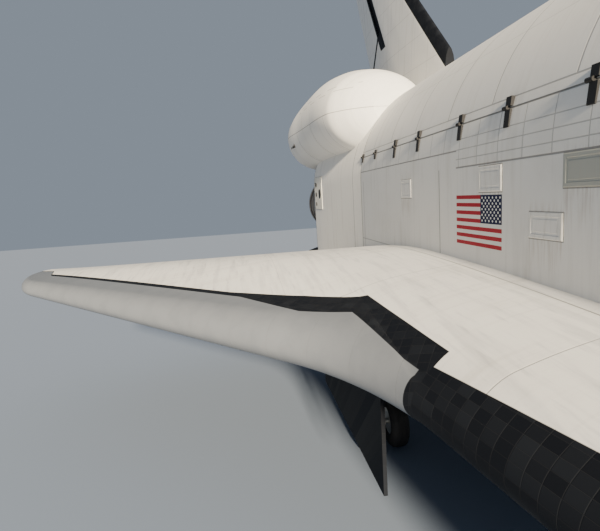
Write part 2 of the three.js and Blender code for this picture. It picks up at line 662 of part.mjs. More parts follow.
function edgePanelRegion(gap) {
  const spans = [EDGE_PANELS_START + gap, 4500, 4700, 4900, 5150, 5450, 5700, 7600, 9000, 10400, 11276];
  const rear = spans.map((x) => [x, leadingEdge(x) + EDGE_PANELS_DEPTH * (x < BEND.to ? 1.15 : 1.25) - gap]);
  const last = rear[rear.length - 1];
  rear.push([last[0] + 250, last[1] + 620], [TIP + 200, last[1] + 700]);
  return plan([[EDGE_PANELS_START + gap, 15000], ...rear, [TIP + 200, 15000]], -800, 3000);
}

const wholeWing = () => {
  const rings = WING_STATIONS.map((x) => wingRing(x));
  rings.push(wingRing(TIP - 40, 0.72), wingRing(TIP, 0.25));
  return cut(loft(rings), hull(4000, BASE + GAP, GAP));
};

function wing() {
  const well = box(WHEEL_WELL.x, WHEEL_WELL.y, WHEEL_WELL.z);
  return cut(wholeWing(), edgePanelRegion(0), well);
}

const edgePanels = () => wholeWing().intersect(edgePanelRegion(GAP));

// An elevon between two half-spans, in a frame whose x axis is the hinge line.
const HINGE_TILT = Math.atan((hingeHeight(TIP) - hingeHeight(ROOT)) / (TIP - ROOT));

function elevon(from, to) {
  const rings = [from, to].map((x) => {
    const r = hingeRadius(x);
    const tail = TRAILING_LINE - TRAILING_SLOPE * x - HINGE_LINE;
    const drop = -r + 0.42 * r;
    const arc = Array.from({ length: 13 }, (_, i) => {
      const a = PI / 2 + (i / 12) * PI;
      return [(x - ROOT) / cos(HINGE_TILT), r * cos(a), r * sin(a)];
    });
    return [...arc, [(x - ROOT) / cos(HINGE_TILT), tail, drop - 16], [(x - ROOT) / cos(HINGE_TILT), tail, drop + 16]];
  });
  return loft(rings).rotate([0, -THREE.MathUtils.radToDeg(HINGE_TILT), 0]).translate([ROOT, HINGE_LINE, HINGE_RADIUS.root]);
}

// The inner elevon's inner end follows the fuselage, which widens towards the base.
function innerElevon() {
  const beside = [HINGE_LINE - 500, BASE - 40].map((y) => [hullRow(y)[4] + ELEVON_CLEARANCE, y]);
  const [front, rear] = beside;
  const room = plan([[1000, front[1]], front, rear, [rear[0], BASE + 500], [1000, BASE + 500]], -2000, 3000);
  return cut(elevon(ROOT + 100, ELEVON_SPLIT - 12), room);
}

function bodyFlap() {
  const { y, z, radius, half } = FLAP_HINGE;
  const arc = Array.from({ length: 13 }, (_, i) => {
    const a = PI / 2 + (i / 12) * PI;
    return [y + radius * cos(a), z + radius * sin(a)];
  });
  return side([...arc, [y + 2057, z - radius + 90], [y + 2057, z - radius + 130]], -half, half);
}

// Fin and rudder

const finFront = (z) => FIN.front + (z - FIN.root);
const finChord = (z) => mix(FIN.rootChord, FIN.tipChord, (z - FIN.root) / (FIN.tip - FIN.root));
const finHinge = (z) => finFront(z) + RUDDER.share * finChord(z);
const finHalf = (z) => 0.047 * finChord(z); // half thickness at the hinge
const REAR_SLOPE = 1 + (FIN.tipChord - FIN.rootChord) / (FIN.tip - FIN.root); // of the fin's rear edge

// The hinge line of the rudder, as directions in the side view: along it, and square to it towards the rear.
const HINGE_LEAN = Math.atan(1 + (RUDDER.share * (FIN.tipChord - FIN.rootChord)) / (FIN.tip - FIN.root));
const along = [sin(HINGE_LEAN), cos(HINGE_LEAN)];
const square = [cos(HINGE_LEAN), -sin(HINGE_LEAN)];

// A point of the side view: up the hinge line to height z, then this far along it and square to it.
const fromHinge = (z, up, back) => [
  finHinge(z) + up * along[0] + back * square[0],
  z + up * along[1] + back * square[1],
];

// Share of the chord and share of the half thickness of the fin's outline.
const FIN_OUTLINE = [[0, 0], [0.006, 0.16], [0.03, 0.34], [0.09, 0.5], [0.3, 0.8], [0.5, 1], [0.6, 1]];
const FIN_TAIL = 14;
const RUDDER_NOSE = { tube: 0.76, inner: 0.86, outer: 0.97, room: 1.04 }; // radii as shares of the half thickness

function finRing(z, narrow = 1) {
  const [start, chord, half] = [finFront(z), finChord(z), finHalf(z) * narrow];
  const points = FIN_OUTLINE.map(([t, w]) => [start + t * chord, w * half]);
  points.push([start + chord, FIN_TAIL]);
  const port = points.slice(1).map(([y, w]) => [-w, y, z]).reverse();
  return [...points.map(([y, w]) => [w, y, z]), ...port];
}

// The corner taken off the fin's foot, so that the top engine can swing up.
const ENGINE_ROOM = [[31900, 5477], [34600, 7718], [36500, 7718], [36500, 5000], [31900, 5000]];

function fin() {
  const body = loft([finRing(5300), finRing(6500), finRing(9500), finRing(FIN.tip - 60), finRing(FIN.tip, 0.55)]);
  const { low, high } = RUDDER;
  const room = side([
    fromHinge(low, -20, -RUDDER_NOSE.room * finHalf(low)),
    fromHinge(high, 20, -RUDDER_NOSE.room * finHalf(high)),
    fromHinge(high, 20, 4000),
    fromHinge(low, -20, 4000),
  ], -600, 600);
  const doors = box([-600, 600], [25000, BAY_END + 40], [5000, 8000]);
  const foot = box([-600, 600], [BAY_END, BASE + 1500], [4800, ROOF + GAP]);
  return cut(body, room, doors, foot, side(ENGINE_ROOM, -600, 600), hingePin(12, 200));
}

function hingePin(wider, longer) {
  const [from, to] = [fromHinge(RUDDER.low, -longer, 0), fromHinge(RUDDER.high, longer, 0)];
  return bar([0, ...from], [0, ...to], 0.36 * finHalf(RUDDER.low) + wider, 0.36 * finHalf(RUDDER.high) + wider, 16);
}

// The tapered tube that the rudder halves hang on, with a pin at each end.
function rudderTube() {
  const [low, high] = [RUDDER.low, RUDDER.high].map((z) => [fromHinge(z, 0, 0), RUDDER_NOSE.tube * finHalf(z)]);
  return join(bar([0, ...low[0]], [0, ...high[0]], low[1], high[1], 16), hingePin(0, 160));
}

// The port half of the split rudder, with ends square to the hinge line.
function rudderHalf() {
  const { inner, outer } = RUDDER_NOSE;
  const rings = [RUDDER.low, 10100, 11650, RUDDER.high].map((z) => {
    const half = finHalf(z);
    const tail = ((1 - RUDDER.share) * finChord(z)) / (square[0] - REAR_SLOPE * square[1]);
    const rows = [
      [3, inner * half],
      [0.5 * half, 0.7 * half],
      [0.76 * half, 0.41 * half],
      [inner * half, 0.05 * half],
      [outer * half, 0.05 * half],
      [0.9 * half, 0.8 * half],
      [FIN_TAIL + 3, tail],
      [3, tail],
    ];
    return rows.map(([x, back]) => [x, ...fromHinge(z, 0, back)]);
  });
  return loft(rings);
}

// Landing gear

const axleHeight = (gear) => (gear.tyre * cos(PI / WHEEL_SIDES) - NOSE_HEIGHT - gear.y * sin(PITCH)) / cos(PITCH);

// Half outline of a tyre: distance from its middle plane and radius, as shares of half width and of depth.
const TREAD = [[0.5, 1], [0.84, 0.92], [1, 0.66], [0.92, 0.3], [0.72, 0]];

function tyre(gear, x) {
  const depth = gear.tyre - gear.rim;
  const half = gear.width / 2;
  const rim = TREAD.map(([w, t]) => [w * half, gear.rim + GAP + t * depth]);
  const profile = [...rim.map(([w, r]) => [-w, r]).reverse(), ...rim];
  return turned([...profile, profile[0]], WHEEL_SIDES, WHEEL_START).translate([gear.x + x, gear.y, axleHeight(gear)]);
}

// Both rims of a gear and the axle that joins them, which turns in the leg's housing.
function rims(gear) {
  const half = gear.width * 0.36;
  const dish = (s) => turned([[s * (gear.spread - half), 0], [s * (gear.spread - half), gear.rim],
    [s * (gear.spread + half), gear.rim], [s * (gear.spread + half), gear.rim * 0.72],
    [s * (gear.spread + half * 0.3), gear.rim * 0.6], [s * (gear.spread + half * 0.3), gear.rim * 0.3],
    [s * (gear.spread + half * 0.9), gear.rim * 0.24], [s * (gear.spread + half * 0.9), 0]], WHEEL_SIDES, WHEEL_START);
  const axle = turned([[-gear.spread, 0], [-gear.spread, gear.rim * 0.2], [gear.spread, gear.rim * 0.2], [gear.spread, 0]], 20);
  return join(dish(1), dish(-1), axle).translate([gear.x, gear.y, axleHeight(gear)]);
}

// A housing across the leg that the axle turns in.
function housing(gear, length) {
  const bore = gear.rim * 0.2 + 8;
  const tube = turned([[-length, bore], [-length, bore + 45], [length, bore + 45], [length, bore], [-length, bore]], 20);
  return tube.translate([gear.x, gear.y, axleHeight(gear)]);
}

const MAIN_TOP = WHEEL_WELL.z[1];
const SLEEVE = { nose: 105, main: 150 };

function mainLeg() {
  const low = axleHeight(MAIN);
  const { x, y } = MAIN;
  const rod = bar([x, y, low + 60], [x, y, -1050], 88, 88, 20);
  const cylinder = bar([x, y, -1500], [x, y, MAIN_TOP - GAP], SLEEVE.main, SLEEVE.main, 20);
  const brace = bar([x, y - 40, -900], [x, y - 1900, MAIN_TOP - 110], 75, 75, 12);
  const cross = bar([x - 600, y, MAIN_TOP - 160], [x + 600, y, MAIN_TOP - 160], 90, 90, 12);
  const link = (s) => bar([x, y + 170, s ? low + 130 : -1380], [x, y + 400, (low - 1250) / 2], 45, 30, 10);
  const lugs = [low + 130, -1380].map((z) => box([x - 60, x + 60], [y, y + 190], [z - 50, z + 50]));
  const knee = box([x - 60, x + 60], [y + 340, y + 440], [(low - 1250) / 2 - 60, (low - 1250) / 2 + 60]);
  return cut(join(rod, cylinder, brace, cross, link(true), link(false), ...lugs, knee, housing(MAIN, 110)),
    axleRoom(MAIN));
}

const axleRoom = (gear) => turned([[-400, 0], [-400, gear.rim * 0.2 + 8], [400, gear.rim * 0.2 + 8], [400, 0]], 20)
  .translate([gear.x, gear.y, axleHeight(gear)]);

const STEER_JOIN = -560; // height of the joint between the fixed and the steered part of the nose leg

function noseLeg() {
  const cylinder = bar([0, NOSE.y, STEER_JOIN + GAP], [0, NOSE.y, WELL.top - GAP], SLEEVE.nose, SLEEVE.nose, 20);
  const brace = bar([0, NOSE.y - 20, -150], [0, NOSE.y - 1300, WELL.top - 90], 55, 55, 12);
  const cross = bar([-420, NOSE.y, WELL.top - 130], [420, NOSE.y, WELL.top - 130], 65, 65, 12);
  const room = bar([0, NOSE.y, STEER_JOIN - 10], [0, NOSE.y, STEER_JOIN + 500], 70, 70, 20);
  return cut(join(cylinder, brace, cross), room);
}

function noseFork() {
  const low = axleHeight(NOSE);
  const rod = bar([0, NOSE.y, low + 40], [0, NOSE.y, STEER_JOIN + 400], 62, 62, 20);
  const collar = bar([0, NOSE.y, STEER_JOIN - 150], [0, NOSE.y, STEER_JOIN - 8], 120, 120, 20);
  const knee = (low + STEER_JOIN) / 2 - 40;
  const links = [low + 90, STEER_JOIN - 90].map((z) => bar([0, NOSE.y + 100, z], [0, NOSE.y + 290, knee], 34, 26, 10));
  const lugs = [low + 90, STEER_JOIN - 90].map((z) => box([-42, 42], [NOSE.y, NOSE.y + 130], [z - 38, z + 38]));
  const joint = box([-42, 42], [NOSE.y + 250, NOSE.y + 325], [knee - 42, knee + 42]);
  return cut(join(rod, collar, ...links, ...lugs, joint, housing(NOSE, 70)), axleRoom(NOSE));
}

// Doors that hang open beside the legs: they move with the legs' own linkage.
const DOOR = { thickness: 55, splay: 0.1 };

function mainGearDoor() {
  const [from, to] = WHEEL_WELL.y;
  const width = WHEEL_WELL.x[1] - WHEEL_WELL.x[0] - 20;
  const x = WHEEL_WELL.x[1] + 30;
  const bottom = DIHEDRAL * (x - ROOT);
  const panel = box([x, x + DOOR.thickness], [from + 10, to - 10], [bottom - width, bottom - 12]);
  const arms = [from + 500, to - 700].map((y) => bar([x + 25, y, bottom - 300], [x - 180, y, bottom + 250], 35, 35, 10));
  return join(panel, ...arms);
}

function noseGearDoor() {
  const [from, to] = [WELL.from + 10, WELL.to - 10];
  const level = (y) => hullRow(y)[1];
  const upper = [0, 0.25, 0.5, 0.75, 1].map((t) => mix(from, to, t)).map((y) => [y, level(y) - 14]);
  const outline = [...upper, [to, level(to) - WELL.half], [from + 60, level(from) - WELL.half]];
  const x = WELL.half + 14;
  const arms = [from + 350, to - 350].map((y) => bar([x + 20, y, level(y) - 200], [x - 120, y, level(y) + 150], 26, 26, 10));
  return join(side(outline, x, x + 40), ...arms);
}

// Assembly

const airframe = new THREE.Group();
airframe.rotation.x = PITCH;
airframe.position.z = NOSE_HEIGHT;

function add(name, body, look) {
  const mesh = new THREE.Mesh(geometryOf(body), new THREE.MeshStandardMaterial(look));
  mesh.name = name;
  airframe.add(mesh);
}

// Adds a port piece and its mirror image.
function pair(name, body, look) {
  add(`${name}_port`, body, look);
  add(`${name}_starboard`, mirrored(body), look);
}

add("nose_cap", noseCap(), GREY);
add("nose_thruster_module", noseModule(), WHITE);
add("forward_fuselage", forwardFuselage(), WHITE);
add("windshield_glass", windshield(), GLASS);
add("roof_window_glass", roofGlass(), GLASS);
add("bay_window_glass", rearGlass(), GLASS);
add("flight_deck", flightDeck(), METAL);
pair("crew_seat", seat(620), BLACK);
add("side_hatch", hatch(), WHITE);
add("hatch_glass", hatchGlass(), GLASS);
add("mid_fuselage", midFuselage(), WHITE);
pair("bay_door", bayDoor(), WHITE);
add("aft_fuselage", aftFuselage(), WHITE);
for (const engine of ENGINES) add(engine.name, mainEngine(engine), METAL);
pair("engine_pod", pod(), WHITE);
pair("pod_nozzle", smallNozzle(0), METAL);
add("body_flap", bodyFlap(), BLACK);
add("fin", fin(), WHITE);
add("rudder_tube", rudderTube(), METAL);
pair("rudder_half", rudderHalf(), WHITE);
pair("wing", wing(), WHITE);
pair("wing_edge_panels", edgePanels(), GREY);
pair("elevon_inner", innerElevon(), WHITE);
pair("elevon_outer", elevon(ELEVON_SPLIT + 12, TIP - 130), WHITE);
add("nose_leg", noseLeg(), METAL);
add("nose_fork", noseFork(), METAL);
add("nose_rims", rims(NOSE), METAL);
add("nose_tyre_port", tyre(NOSE, NOSE.spread), RUBBER);
add("nose_tyre_starboard", tyre(NOSE, -NOSE.spread), RUBBER);
pair("main_leg", mainLeg(), METAL);
pair("main_rims", rims(MAIN), METAL);
pair("main_tyre_outer", tyre(MAIN, MAIN.spread), RUBBER);
pair("main_tyre_inner", tyre(MAIN, -MAIN.spread), RUBBER);
pair("nose_gear_door", noseGearDoor(), BLACK);
pair("main_gear_door", mainGearDoor(), BLACK);

const shuttle = new THREE.Group();
shuttle.add(airframe);
const bounds = new THREE.Box3().setFromObject(shuttle, true);
airframe.position.y -= (bounds.min.y + bounds.max.y) / 2;
airframe.position.z -= bounds.min.z;

export default shuttle;
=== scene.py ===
# %% [markdown]
# # A space shuttle on its wheels
#
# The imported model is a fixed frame: plain solids that already stand in the right place.
# This lesson dresses them. Each smooth skin of the real craft is worked out again as a finer surface from a
# short table of measurements, and each finish is worked out from where a point lies on the craft.

# %% The frame
import functools
import math

import bmesh
import bpy
import numpy as np
from mathutils import Matrix


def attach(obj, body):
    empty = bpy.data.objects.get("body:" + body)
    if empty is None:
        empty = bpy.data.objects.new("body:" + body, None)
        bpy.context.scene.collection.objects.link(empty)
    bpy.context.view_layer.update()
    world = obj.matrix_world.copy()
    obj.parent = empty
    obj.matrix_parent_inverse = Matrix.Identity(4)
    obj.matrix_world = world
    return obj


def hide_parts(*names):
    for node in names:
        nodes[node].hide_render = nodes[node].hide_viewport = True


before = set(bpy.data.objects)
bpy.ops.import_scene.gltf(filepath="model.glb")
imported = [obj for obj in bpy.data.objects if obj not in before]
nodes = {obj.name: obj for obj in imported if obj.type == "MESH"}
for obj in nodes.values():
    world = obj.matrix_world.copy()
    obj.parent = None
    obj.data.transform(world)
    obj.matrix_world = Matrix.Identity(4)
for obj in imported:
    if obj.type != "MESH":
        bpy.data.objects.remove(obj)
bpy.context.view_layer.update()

# %% [markdown]
# The craft is drawn level, as its builders do: x to port, s aft of the nose tip, h above the flat belly.
# On its wheels it leans nose-down by a few degrees, so one function turns level places into the frame's.

# %% Level places
PITCH = math.radians(3.4)
NOSE_Y = -18.1458  # of the nose tip in the frame
NOSE_Z = 1.4778
LEAN_C = math.cos(PITCH)
LEAN_S = math.sin(PITCH)


def placed(level):
    """Level points (..., 3) as frame points: turned nose-down about x, then moved to the nose's place."""
    x, s, h = np.moveaxis(np.asarray(level, float), -1, 0)
    return np.stack([x, NOSE_Y + s * LEAN_C - h * LEAN_S, NOSE_Z + s * LEAN_S + h * LEAN_C], -1)


# %% [markdown]
# The camera stands where the photographer stood: beside the starboard wing's root, just ahead of the wing,
# looking back along the side towards the tail.

# %% Camera
PHOTO_WIDTH = 600
FOCAL_PIXELS = 450.0
SENSOR_MM = 36.0
FAR = 500
EYE = (-6.156, 14.991, 2.560)  # level place
LOOK = (math.radians(7.69), math.radians(-8.66), math.radians(-3.64))  # yaw from aft to port, rise, roll


def camera_axes(yaw, rise, roll):
    """Right, up and forward of a camera turned by yaw, raised by rise and rolled about its sight line."""
    forward = np.array([math.sin(yaw) * math.cos(rise), math.cos(yaw) * math.cos(rise), math.sin(rise)])
    right = np.cross(forward, [0, 0, 1])
    right /= np.linalg.norm(right)
    up = np.cross(right, forward)
    turned = math.cos(roll) * right + math.sin(roll) * up
    return turned, np.cross(turned, forward), forward


def linked(name, data):
    """A new object in the scene that holds the data."""
    obj = bpy.data.objects.new(name, data)
    bpy.context.scene.collection.objects.link(obj)
    return obj


def add_camera():
    data = bpy.data.cameras.new("camera")
    data.sensor_fit = "HORIZONTAL"
    data.sensor_width = SENSOR_MM
    data.lens = FOCAL_PIXELS / PHOTO_WIDTH * data.sensor_width
    data.clip_end = FAR
    camera = linked("camera", data)
    eye = placed(EYE)
    origin = placed((0, 0, 0))
    right, up, forward = (placed(axis) - origin for axis in camera_axes(*LOOK))
    rows = [[right[i], up[i], -forward[i], eye[i]] for i in range(3)]
    camera.matrix_world = Matrix(rows + [[0, 0, 0, 1]])
    bpy.context.scene.camera = camera


add_camera()
print("camera at", np.round(placed(EYE), 2))

# %% [markdown]
# Every new piece is one or more grids of points. Each row of a grid is a ring round the piece, and faces join
# each point to its neighbours. The first and the last ring may be capped.

# %% Grids to meshes
CREASE = 35.0  # degrees
MERGE = 1e-5  # points closer than this are one


def grid_faces(rows, columns, start):
    """Quads between neighbouring points of a grid of rings, as one array of point numbers."""
    r = np.arange(rows - 1)[:, None]
    c = np.arange(columns)[None, :]
    n = (c + 1) % columns
    quads = np.stack([r * columns + c, r * columns + n, (r + 1) * columns + n, (r + 1) * columns + c], -1)
    return quads.reshape(-1, 4) + start


def mesh_object(name, grids, sharp=CREASE):
    """One object from several grids, each (points, capped). Outward faces, smooth up to the sharp angle."""
    points, faces, start = [], [], 0
    for grid, capped in grids:
        rows, columns = grid.shape[:2]
        points.append(grid.reshape(-1, 3))
        faces += grid_faces(rows, columns, start).tolist()
        if capped:
            last = start + (rows - 1) * columns
            faces.append(list(range(start, start + columns))[::-1])
            faces.append(list(range(last, last + columns)))
        start += rows * columns
    mesh = bpy.data.meshes.new(name)
    mesh.from_pydata(np.concatenate(points).tolist(), [], faces)
    mesh.validate()
    obj = linked(name, mesh)
    face_outwards(obj)
    soften(obj, sharp)
    return obj


def face_outwards(obj):
    """Joins doubled points and turns every face outwards."""
    bm = bmesh.new()
    bm.from_mesh(obj.data)
    bmesh.ops.remove_doubles(bm, verts=bm.verts, dist=MERGE)
    bmesh.ops.recalc_face_normals(bm, faces=bm.faces)
    bm.to_mesh(obj.data)
    bm.free()


def soften(obj, sharp=CREASE):
    """Smooth shading, with a crease wherever two faces meet at more than the sharp angle."""
    obj.data.polygons.foreach_set("use_smooth", [True] * len(obj.data.polygons))
    obj.data.set_sharp_from_angle(angle=math.radians(sharp))


def carved(obj, *parts, operation="DIFFERENCE"):
    """The object with each closed tool, an object or a grid, cut away from it or else joined or kept."""
    for part in parts:
        tool = mesh_object("tool", [part]) if isinstance(part, tuple) else part
        modifier = obj.modifiers.new("carve", "BOOLEAN")
        modifier.operation = operation
        modifier.solver = "MANIFOLD"
        modifier.object = tool
        bpy.context.view_layer.update()
        shape = obj.evaluated_get(bpy.context.evaluated_depsgraph_get())
        obj.data = bpy.data.meshes.new_from_object(shape)
        obj.modifiers.clear()
        bpy.data.objects.remove(tool)
    soften(obj)
    return obj


# %% [markdown]
# Small parts are boxes, bars and turned rings. A turned part is a profile of distance and radius carried
# round an axis; a bar is the same with a straight profile; a prism is an outline carried straight across.

# %% Small parts
def basis(direction):
    """The direction at unit length, and two more square to it and to each other."""
    d = np.asarray(direction, float) / np.linalg.norm(direction)
    helper = np.array([0, 0, 1.0]) if abs(d[2]) < 0.9 else np.array([1.0, 0, 0])
    u = np.cross(helper, d)
    u /= np.linalg.norm(u)
    return d, u, np.cross(d, u)


def turned(profile, origin, axis, steps=64, tube=False):
    """Rings origin + along * axis + radius * (cos t, sin t), one for each row (along, radius) of the profile.

    A tube's profile ends where it starts, so its rings need no caps.
    """
    d, u, v = basis(axis)
    profile = np.asarray(profile, float)
    if tube:
        profile = np.vstack([profile, profile[:1]])
    t = np.linspace(0, 2 * np.pi, steps, endpoint=False)
    ring = np.cos(t)[:, None] * u + np.sin(t)[:, None] * v
    grid = np.asarray(origin, float) + profile[:, None, :1] * d + profile[:, None, 1:] * ring[None]
    return placed(grid), not tube


def bar(start, end, radius, steps=20, end_radius=None):
    """A round bar between two level points, tapered where a second radius is given."""
    a, b = np.asarray(start, float), np.asarray(end, float)
    return turned([(0, radius), (np.linalg.norm(b - a), end_radius or radius)], a, b - a, steps)


def box(x, s, h):
    """A level box between pairs of limits."""
    ring = [(x[0], s[0]), (x[1], s[0]), (x[1], s[1]), (x[0], s[1])]
    grid = [[(a, b, level) for a, b in ring] for level in h]
    return placed(grid), True


def prism(outline, places, plane="xh"):
    """A closed outline in the named level plane carried through the places across it."""
    first, second, across = {"sh": (1, 2, 0), "xh": (0, 2, 1), "xs": (0, 1, 2)}[plane]
    outline = np.asarray(outline, float)
    grid = np.zeros((len(places), len(outline), 3))
    grid[..., first] = outline[:, 0]
    grid[..., second] = outline[:, 1]
    grid[..., across] = np.asarray(places, float)[:, None]
    return placed(grid), True


def mirror(parts):
    """The same grids on the other side of the craft."""
    return [(grid[:, ::-1] * (-1, 1, 1), capped) for grid, capped in parts]


def on_side(side, *parts):
    """The port grids as they are, or their mirror images for the starboard side."""
    return list(parts) if side == "port" else mirror(parts)


def object_on_side(side, obj):
    """The finished port piece as it is, or mirrored for the starboard side with its faces outwards again."""
    if side == "starboard":
        mesh = obj.data
        points = np.empty(len(mesh.vertices) * 3)
        mesh.vertices.foreach_get("co", points)
        points = points.reshape(-1, 3) * (-1, 1, 1)
        mesh.vertices.foreach_set("co", points.ravel())
        mesh.flip_normals()
        mesh.update()
    return obj


# %% [markdown]
# Finishes are worked out with maths on the place of each point. A small class wraps a shader socket, so that
# `mask * 2 + 1` in Python becomes the Math nodes that do it.

# %% Shader maths
class Value:
    """A number from a shader socket. Python's operators on it add Math nodes."""

    def __init__(self, finish, socket):
        self.finish = finish
        self.socket = socket

    def maths(self, operation, *others, clamp=False):
        settings = {"operation": operation, "use_clamp": clamp}
        node = self.finish.node("ShaderNodeMath", settings, [self, *others])
        return Value(self.finish, node.outputs[0])

    def __add__(self, other):
        return self.maths("ADD", other)

    def __sub__(self, other):
        return self.maths("SUBTRACT", other)

    def __rsub__(self, other):
        return (self * -1) + other

    def __mul__(self, other):
        return self.maths("MULTIPLY", other)

    def __truediv__(self, other):
        return self.maths("DIVIDE", other)

    def __abs__(self):
        return self.maths("ABSOLUTE")

    def __lt__(self, other):
        return self.maths("LESS_THAN", other)

    def __gt__(self, other):
        return self.maths("GREATER_THAN", other)

    __radd__ = __add__
    __rmul__ = __mul__

    def floor(self):
        return self.maths("FLOOR")

    def fract(self):
        return self.maths("FRACT")

    def least(self, other):
        return self.maths("MINIMUM", other)

    def most(self, other):
        return self.maths("MAXIMUM", other)

    def limited(self):
        """The number held between 0 and 1."""
        return self.maths("ADD", 0.0, clamp=True)

    def ramp(self, low, high):
        """0 at low rising smoothly to 1 at high."""
        node = self.finish.node(
            "ShaderNodeMapRange", {"interpolation_type": "SMOOTHSTEP"},
            {"Value": self, "From Min": low, "From Max": high})
        return Value(self.finish, node.outputs["Result"])

    def above(self, soft):
        """1 where the number is above 0 and 0 where it is below, with a soft edge."""
        return self.ramp(-soft, soft)


class Finish:
    """One material: a Principled shader and the nodes that feed it."""

    def __init__(self, name):
        self.material = bpy.data.materials.new(name)
        self.material.use_nodes = True
        self.tree = self.material.node_tree
        self.shader = self.tree.nodes["Principled BSDF"]
        self.place = self.node("ShaderNodeTexCoord").outputs["Object"]

    def node(self, kind, settings=None, values=None):
        """A new node with its settings and with values or sockets fed to its inputs."""
        node = self.tree.nodes.new(kind)
        for key, value in (settings or {}).items():
            setattr(node, key, value)
        pairs = enumerate(values) if isinstance(values, (list, tuple)) else (values or {}).items()
        for key, value in pairs:
            self.feed(node.inputs[key], value)
        return node

    def feed(self, socket, value):
        if isinstance(value, Value):
            value = value.socket
        if isinstance(value, bpy.types.NodeSocket):
            self.tree.links.new(value, socket)
        else:
            socket.default_value = value

    def level(self):
        """The level place x, s, h of the point."""
        split = self.node("ShaderNodeSeparateXYZ", None, [self.place])
        x, y, z = (Value(self, out) for out in split.outputs)
        y, z = y - NOSE_Y, z - NOSE_Z
        return x, y * LEAN_C + z * LEAN_S, z * LEAN_C - y * LEAN_S

    def vector(self, x, y, z):
        return self.node("ShaderNodeCombineXYZ", None, [x, y, z]).outputs[0]

    def noise(self, scale, detail, vector=None):
        """Cloudy noise around 0.5."""
        node = self.node("ShaderNodeTexNoise", None, {
            "Vector": self.place if vector is None else vector, "Scale": scale, "Detail": detail,
            "Roughness": 0.55})
        return Value(self, node.outputs["Fac"])

    def random(self, x, y):
        """A random number for each whole-number place."""
        node = self.node("ShaderNodeTexWhiteNoise", {"noise_dimensions": "3D"}, [self.vector(x, y, 0.0)])
        return Value(self, node.outputs["Value"])

    def mix(self, amount, first, second):
        """From the first colour to the second as amount goes from 0 to 1."""
        node = self.node("ShaderNodeMix", {"data_type": "RGBA"})
        self.feed(node.inputs[0], amount)
        self.feed(node.inputs[6], colour(first))
        self.feed(node.inputs[7], colour(second))
        return node.outputs[2]

    def bump(self, height, distance, strength):
        """The normal of a surface raised by the height, times the distance in metres."""
        values = {"Height": height, "Distance": distance, "Strength": strength}
        return self.node("ShaderNodeBump", None, values).outputs["Normal"]

    def set(self, **sockets):
        """Feeds the shader's sockets, named in lower case, and gives the material."""
        for key, value in sockets.items():
            name = key.replace("_", " ").title().replace("Ior", "IOR")
            self.feed(self.shader.inputs[name], colour(value) if name == "Base Color" else value)
        return self.material


def colour(value):
    """A grey or an RGB triple as the four numbers that a colour socket takes."""
    if isinstance(value, (Value, bpy.types.NodeSocket)):
        return value
    rgb = (value,) * 3 if isinstance(value, (int, float)) else value
    return (*rgb, 1.0)


def lines(value, spacing, width):
    """1 on thin lines across the value at every spacing, 0 between them."""
    distance = abs((value / spacing + 0.5).fract() - 0.5) * spacing
    return 1 - distance.ramp(width * 0.5, width)


def near(value, place, width):
    """1 where the value is within half the width of one place."""
    return 1 - abs(value - place).ramp(width * 0.5, width)


def between(value, low, high, edge=0.004):
    """1 between two limits."""
    return value.ramp(low - edge, low + edge) * (1 - value.ramp(high - edge, high + edge))


def greatest(*masks):
    """The greatest of several masks at each point."""
    return functools.reduce(Value.most, masks)


# %% [markdown]
# The skin of the real craft is thousands of silica tiles and quilted blankets. From a few metres off, the
# white side looks like slightly uneven painted panels with thin joints and rain streaks; the hot parts are
# near-black tiles about 15 cm square, each a little lighter or darker than its neighbour.

# %% Skin finish
WHITE = (0.83, 0.82, 0.79)
DIRT = (0.44, 0.41, 0.36)
BLACK = (0.004, 0.005, 0.008)
TILE = 0.152


def white_parts(finish, x, s, h, joints):
    """Colour, roughness and height of the white skin, with its joint lines and streaks of dirt."""
    cloud = finish.noise(0.9, 6)
    fine = finish.noise(14.0, 5)
    streak = finish.noise(1.0, 5, finish.vector(x * 0.4, s * 5.5, h * 0.45))
    drip = finish.noise(1.0, 4, finish.vector(x * 0.2, s * 17.0, h * 0.6))
    soil = streak.ramp(0.50, 0.76) * 0.24 + drip.ramp(0.55, 0.80) * 0.16
    soil = (soil + cloud.ramp(0.50, 0.78) * 0.14 + fine.ramp(0.5, 0.9) * 0.05).limited()
    tone = finish.mix(soil, WHITE, DIRT)
    tone = finish.mix(joints * 0.8, tone, (0.20, 0.195, 0.19))
    rough = 0.42 + cloud * 0.2 + soil * 0.3
    height = fine * 0.18 + cloud * 0.5 - joints
    return tone, rough, height


def tile_parts(finish, u, v):
    """Colour, roughness and height of black tiles laid in rows along u and v."""
    column, row = (u / TILE).floor(), (v / TILE).floor()
    chance = finish.random(column, row)
    gap = lines(u, TILE, 0.005).most(lines(v, TILE, 0.005))
    speck = finish.noise(60.0, 3)
    shade = finish.mix(chance * chance * 0.6 + speck * 0.1, BLACK, (0.013, 0.016, 0.022))
    tone = finish.mix(gap * 0.22, shade, (0.03, 0.031, 0.033))
    return tone, 0.62 + chance * 0.2 + gap * 0.1, speck * 0.05 + chance * 0.2 - gap * 0.5


def layered(finish, mask, under, over):
    """Colour, roughness and height of one layer where the mask is 0 and of another where it is 1."""
    tone = finish.mix(mask, under[0], over[0])
    return tone, under[1] * (1 - mask) + over[1] * mask, under[2] * (1 - mask) + over[2] * mask


def skin_shader(finish, tone, rough, height):
    """A nearly matt skin with its small heights as bump."""
    normal = finish.bump(height, 0.004, 0.8)
    return finish.set(base_color=tone, roughness=rough, normal=normal, specular_ior_level=0.15)


# %% [markdown]
# Some pieces need only that skin with other joints and other black parts. The rest are metal, carbon, rubber,
# paint and glass: one colour, clouded a little by noise, so that no part looks like new plastic.

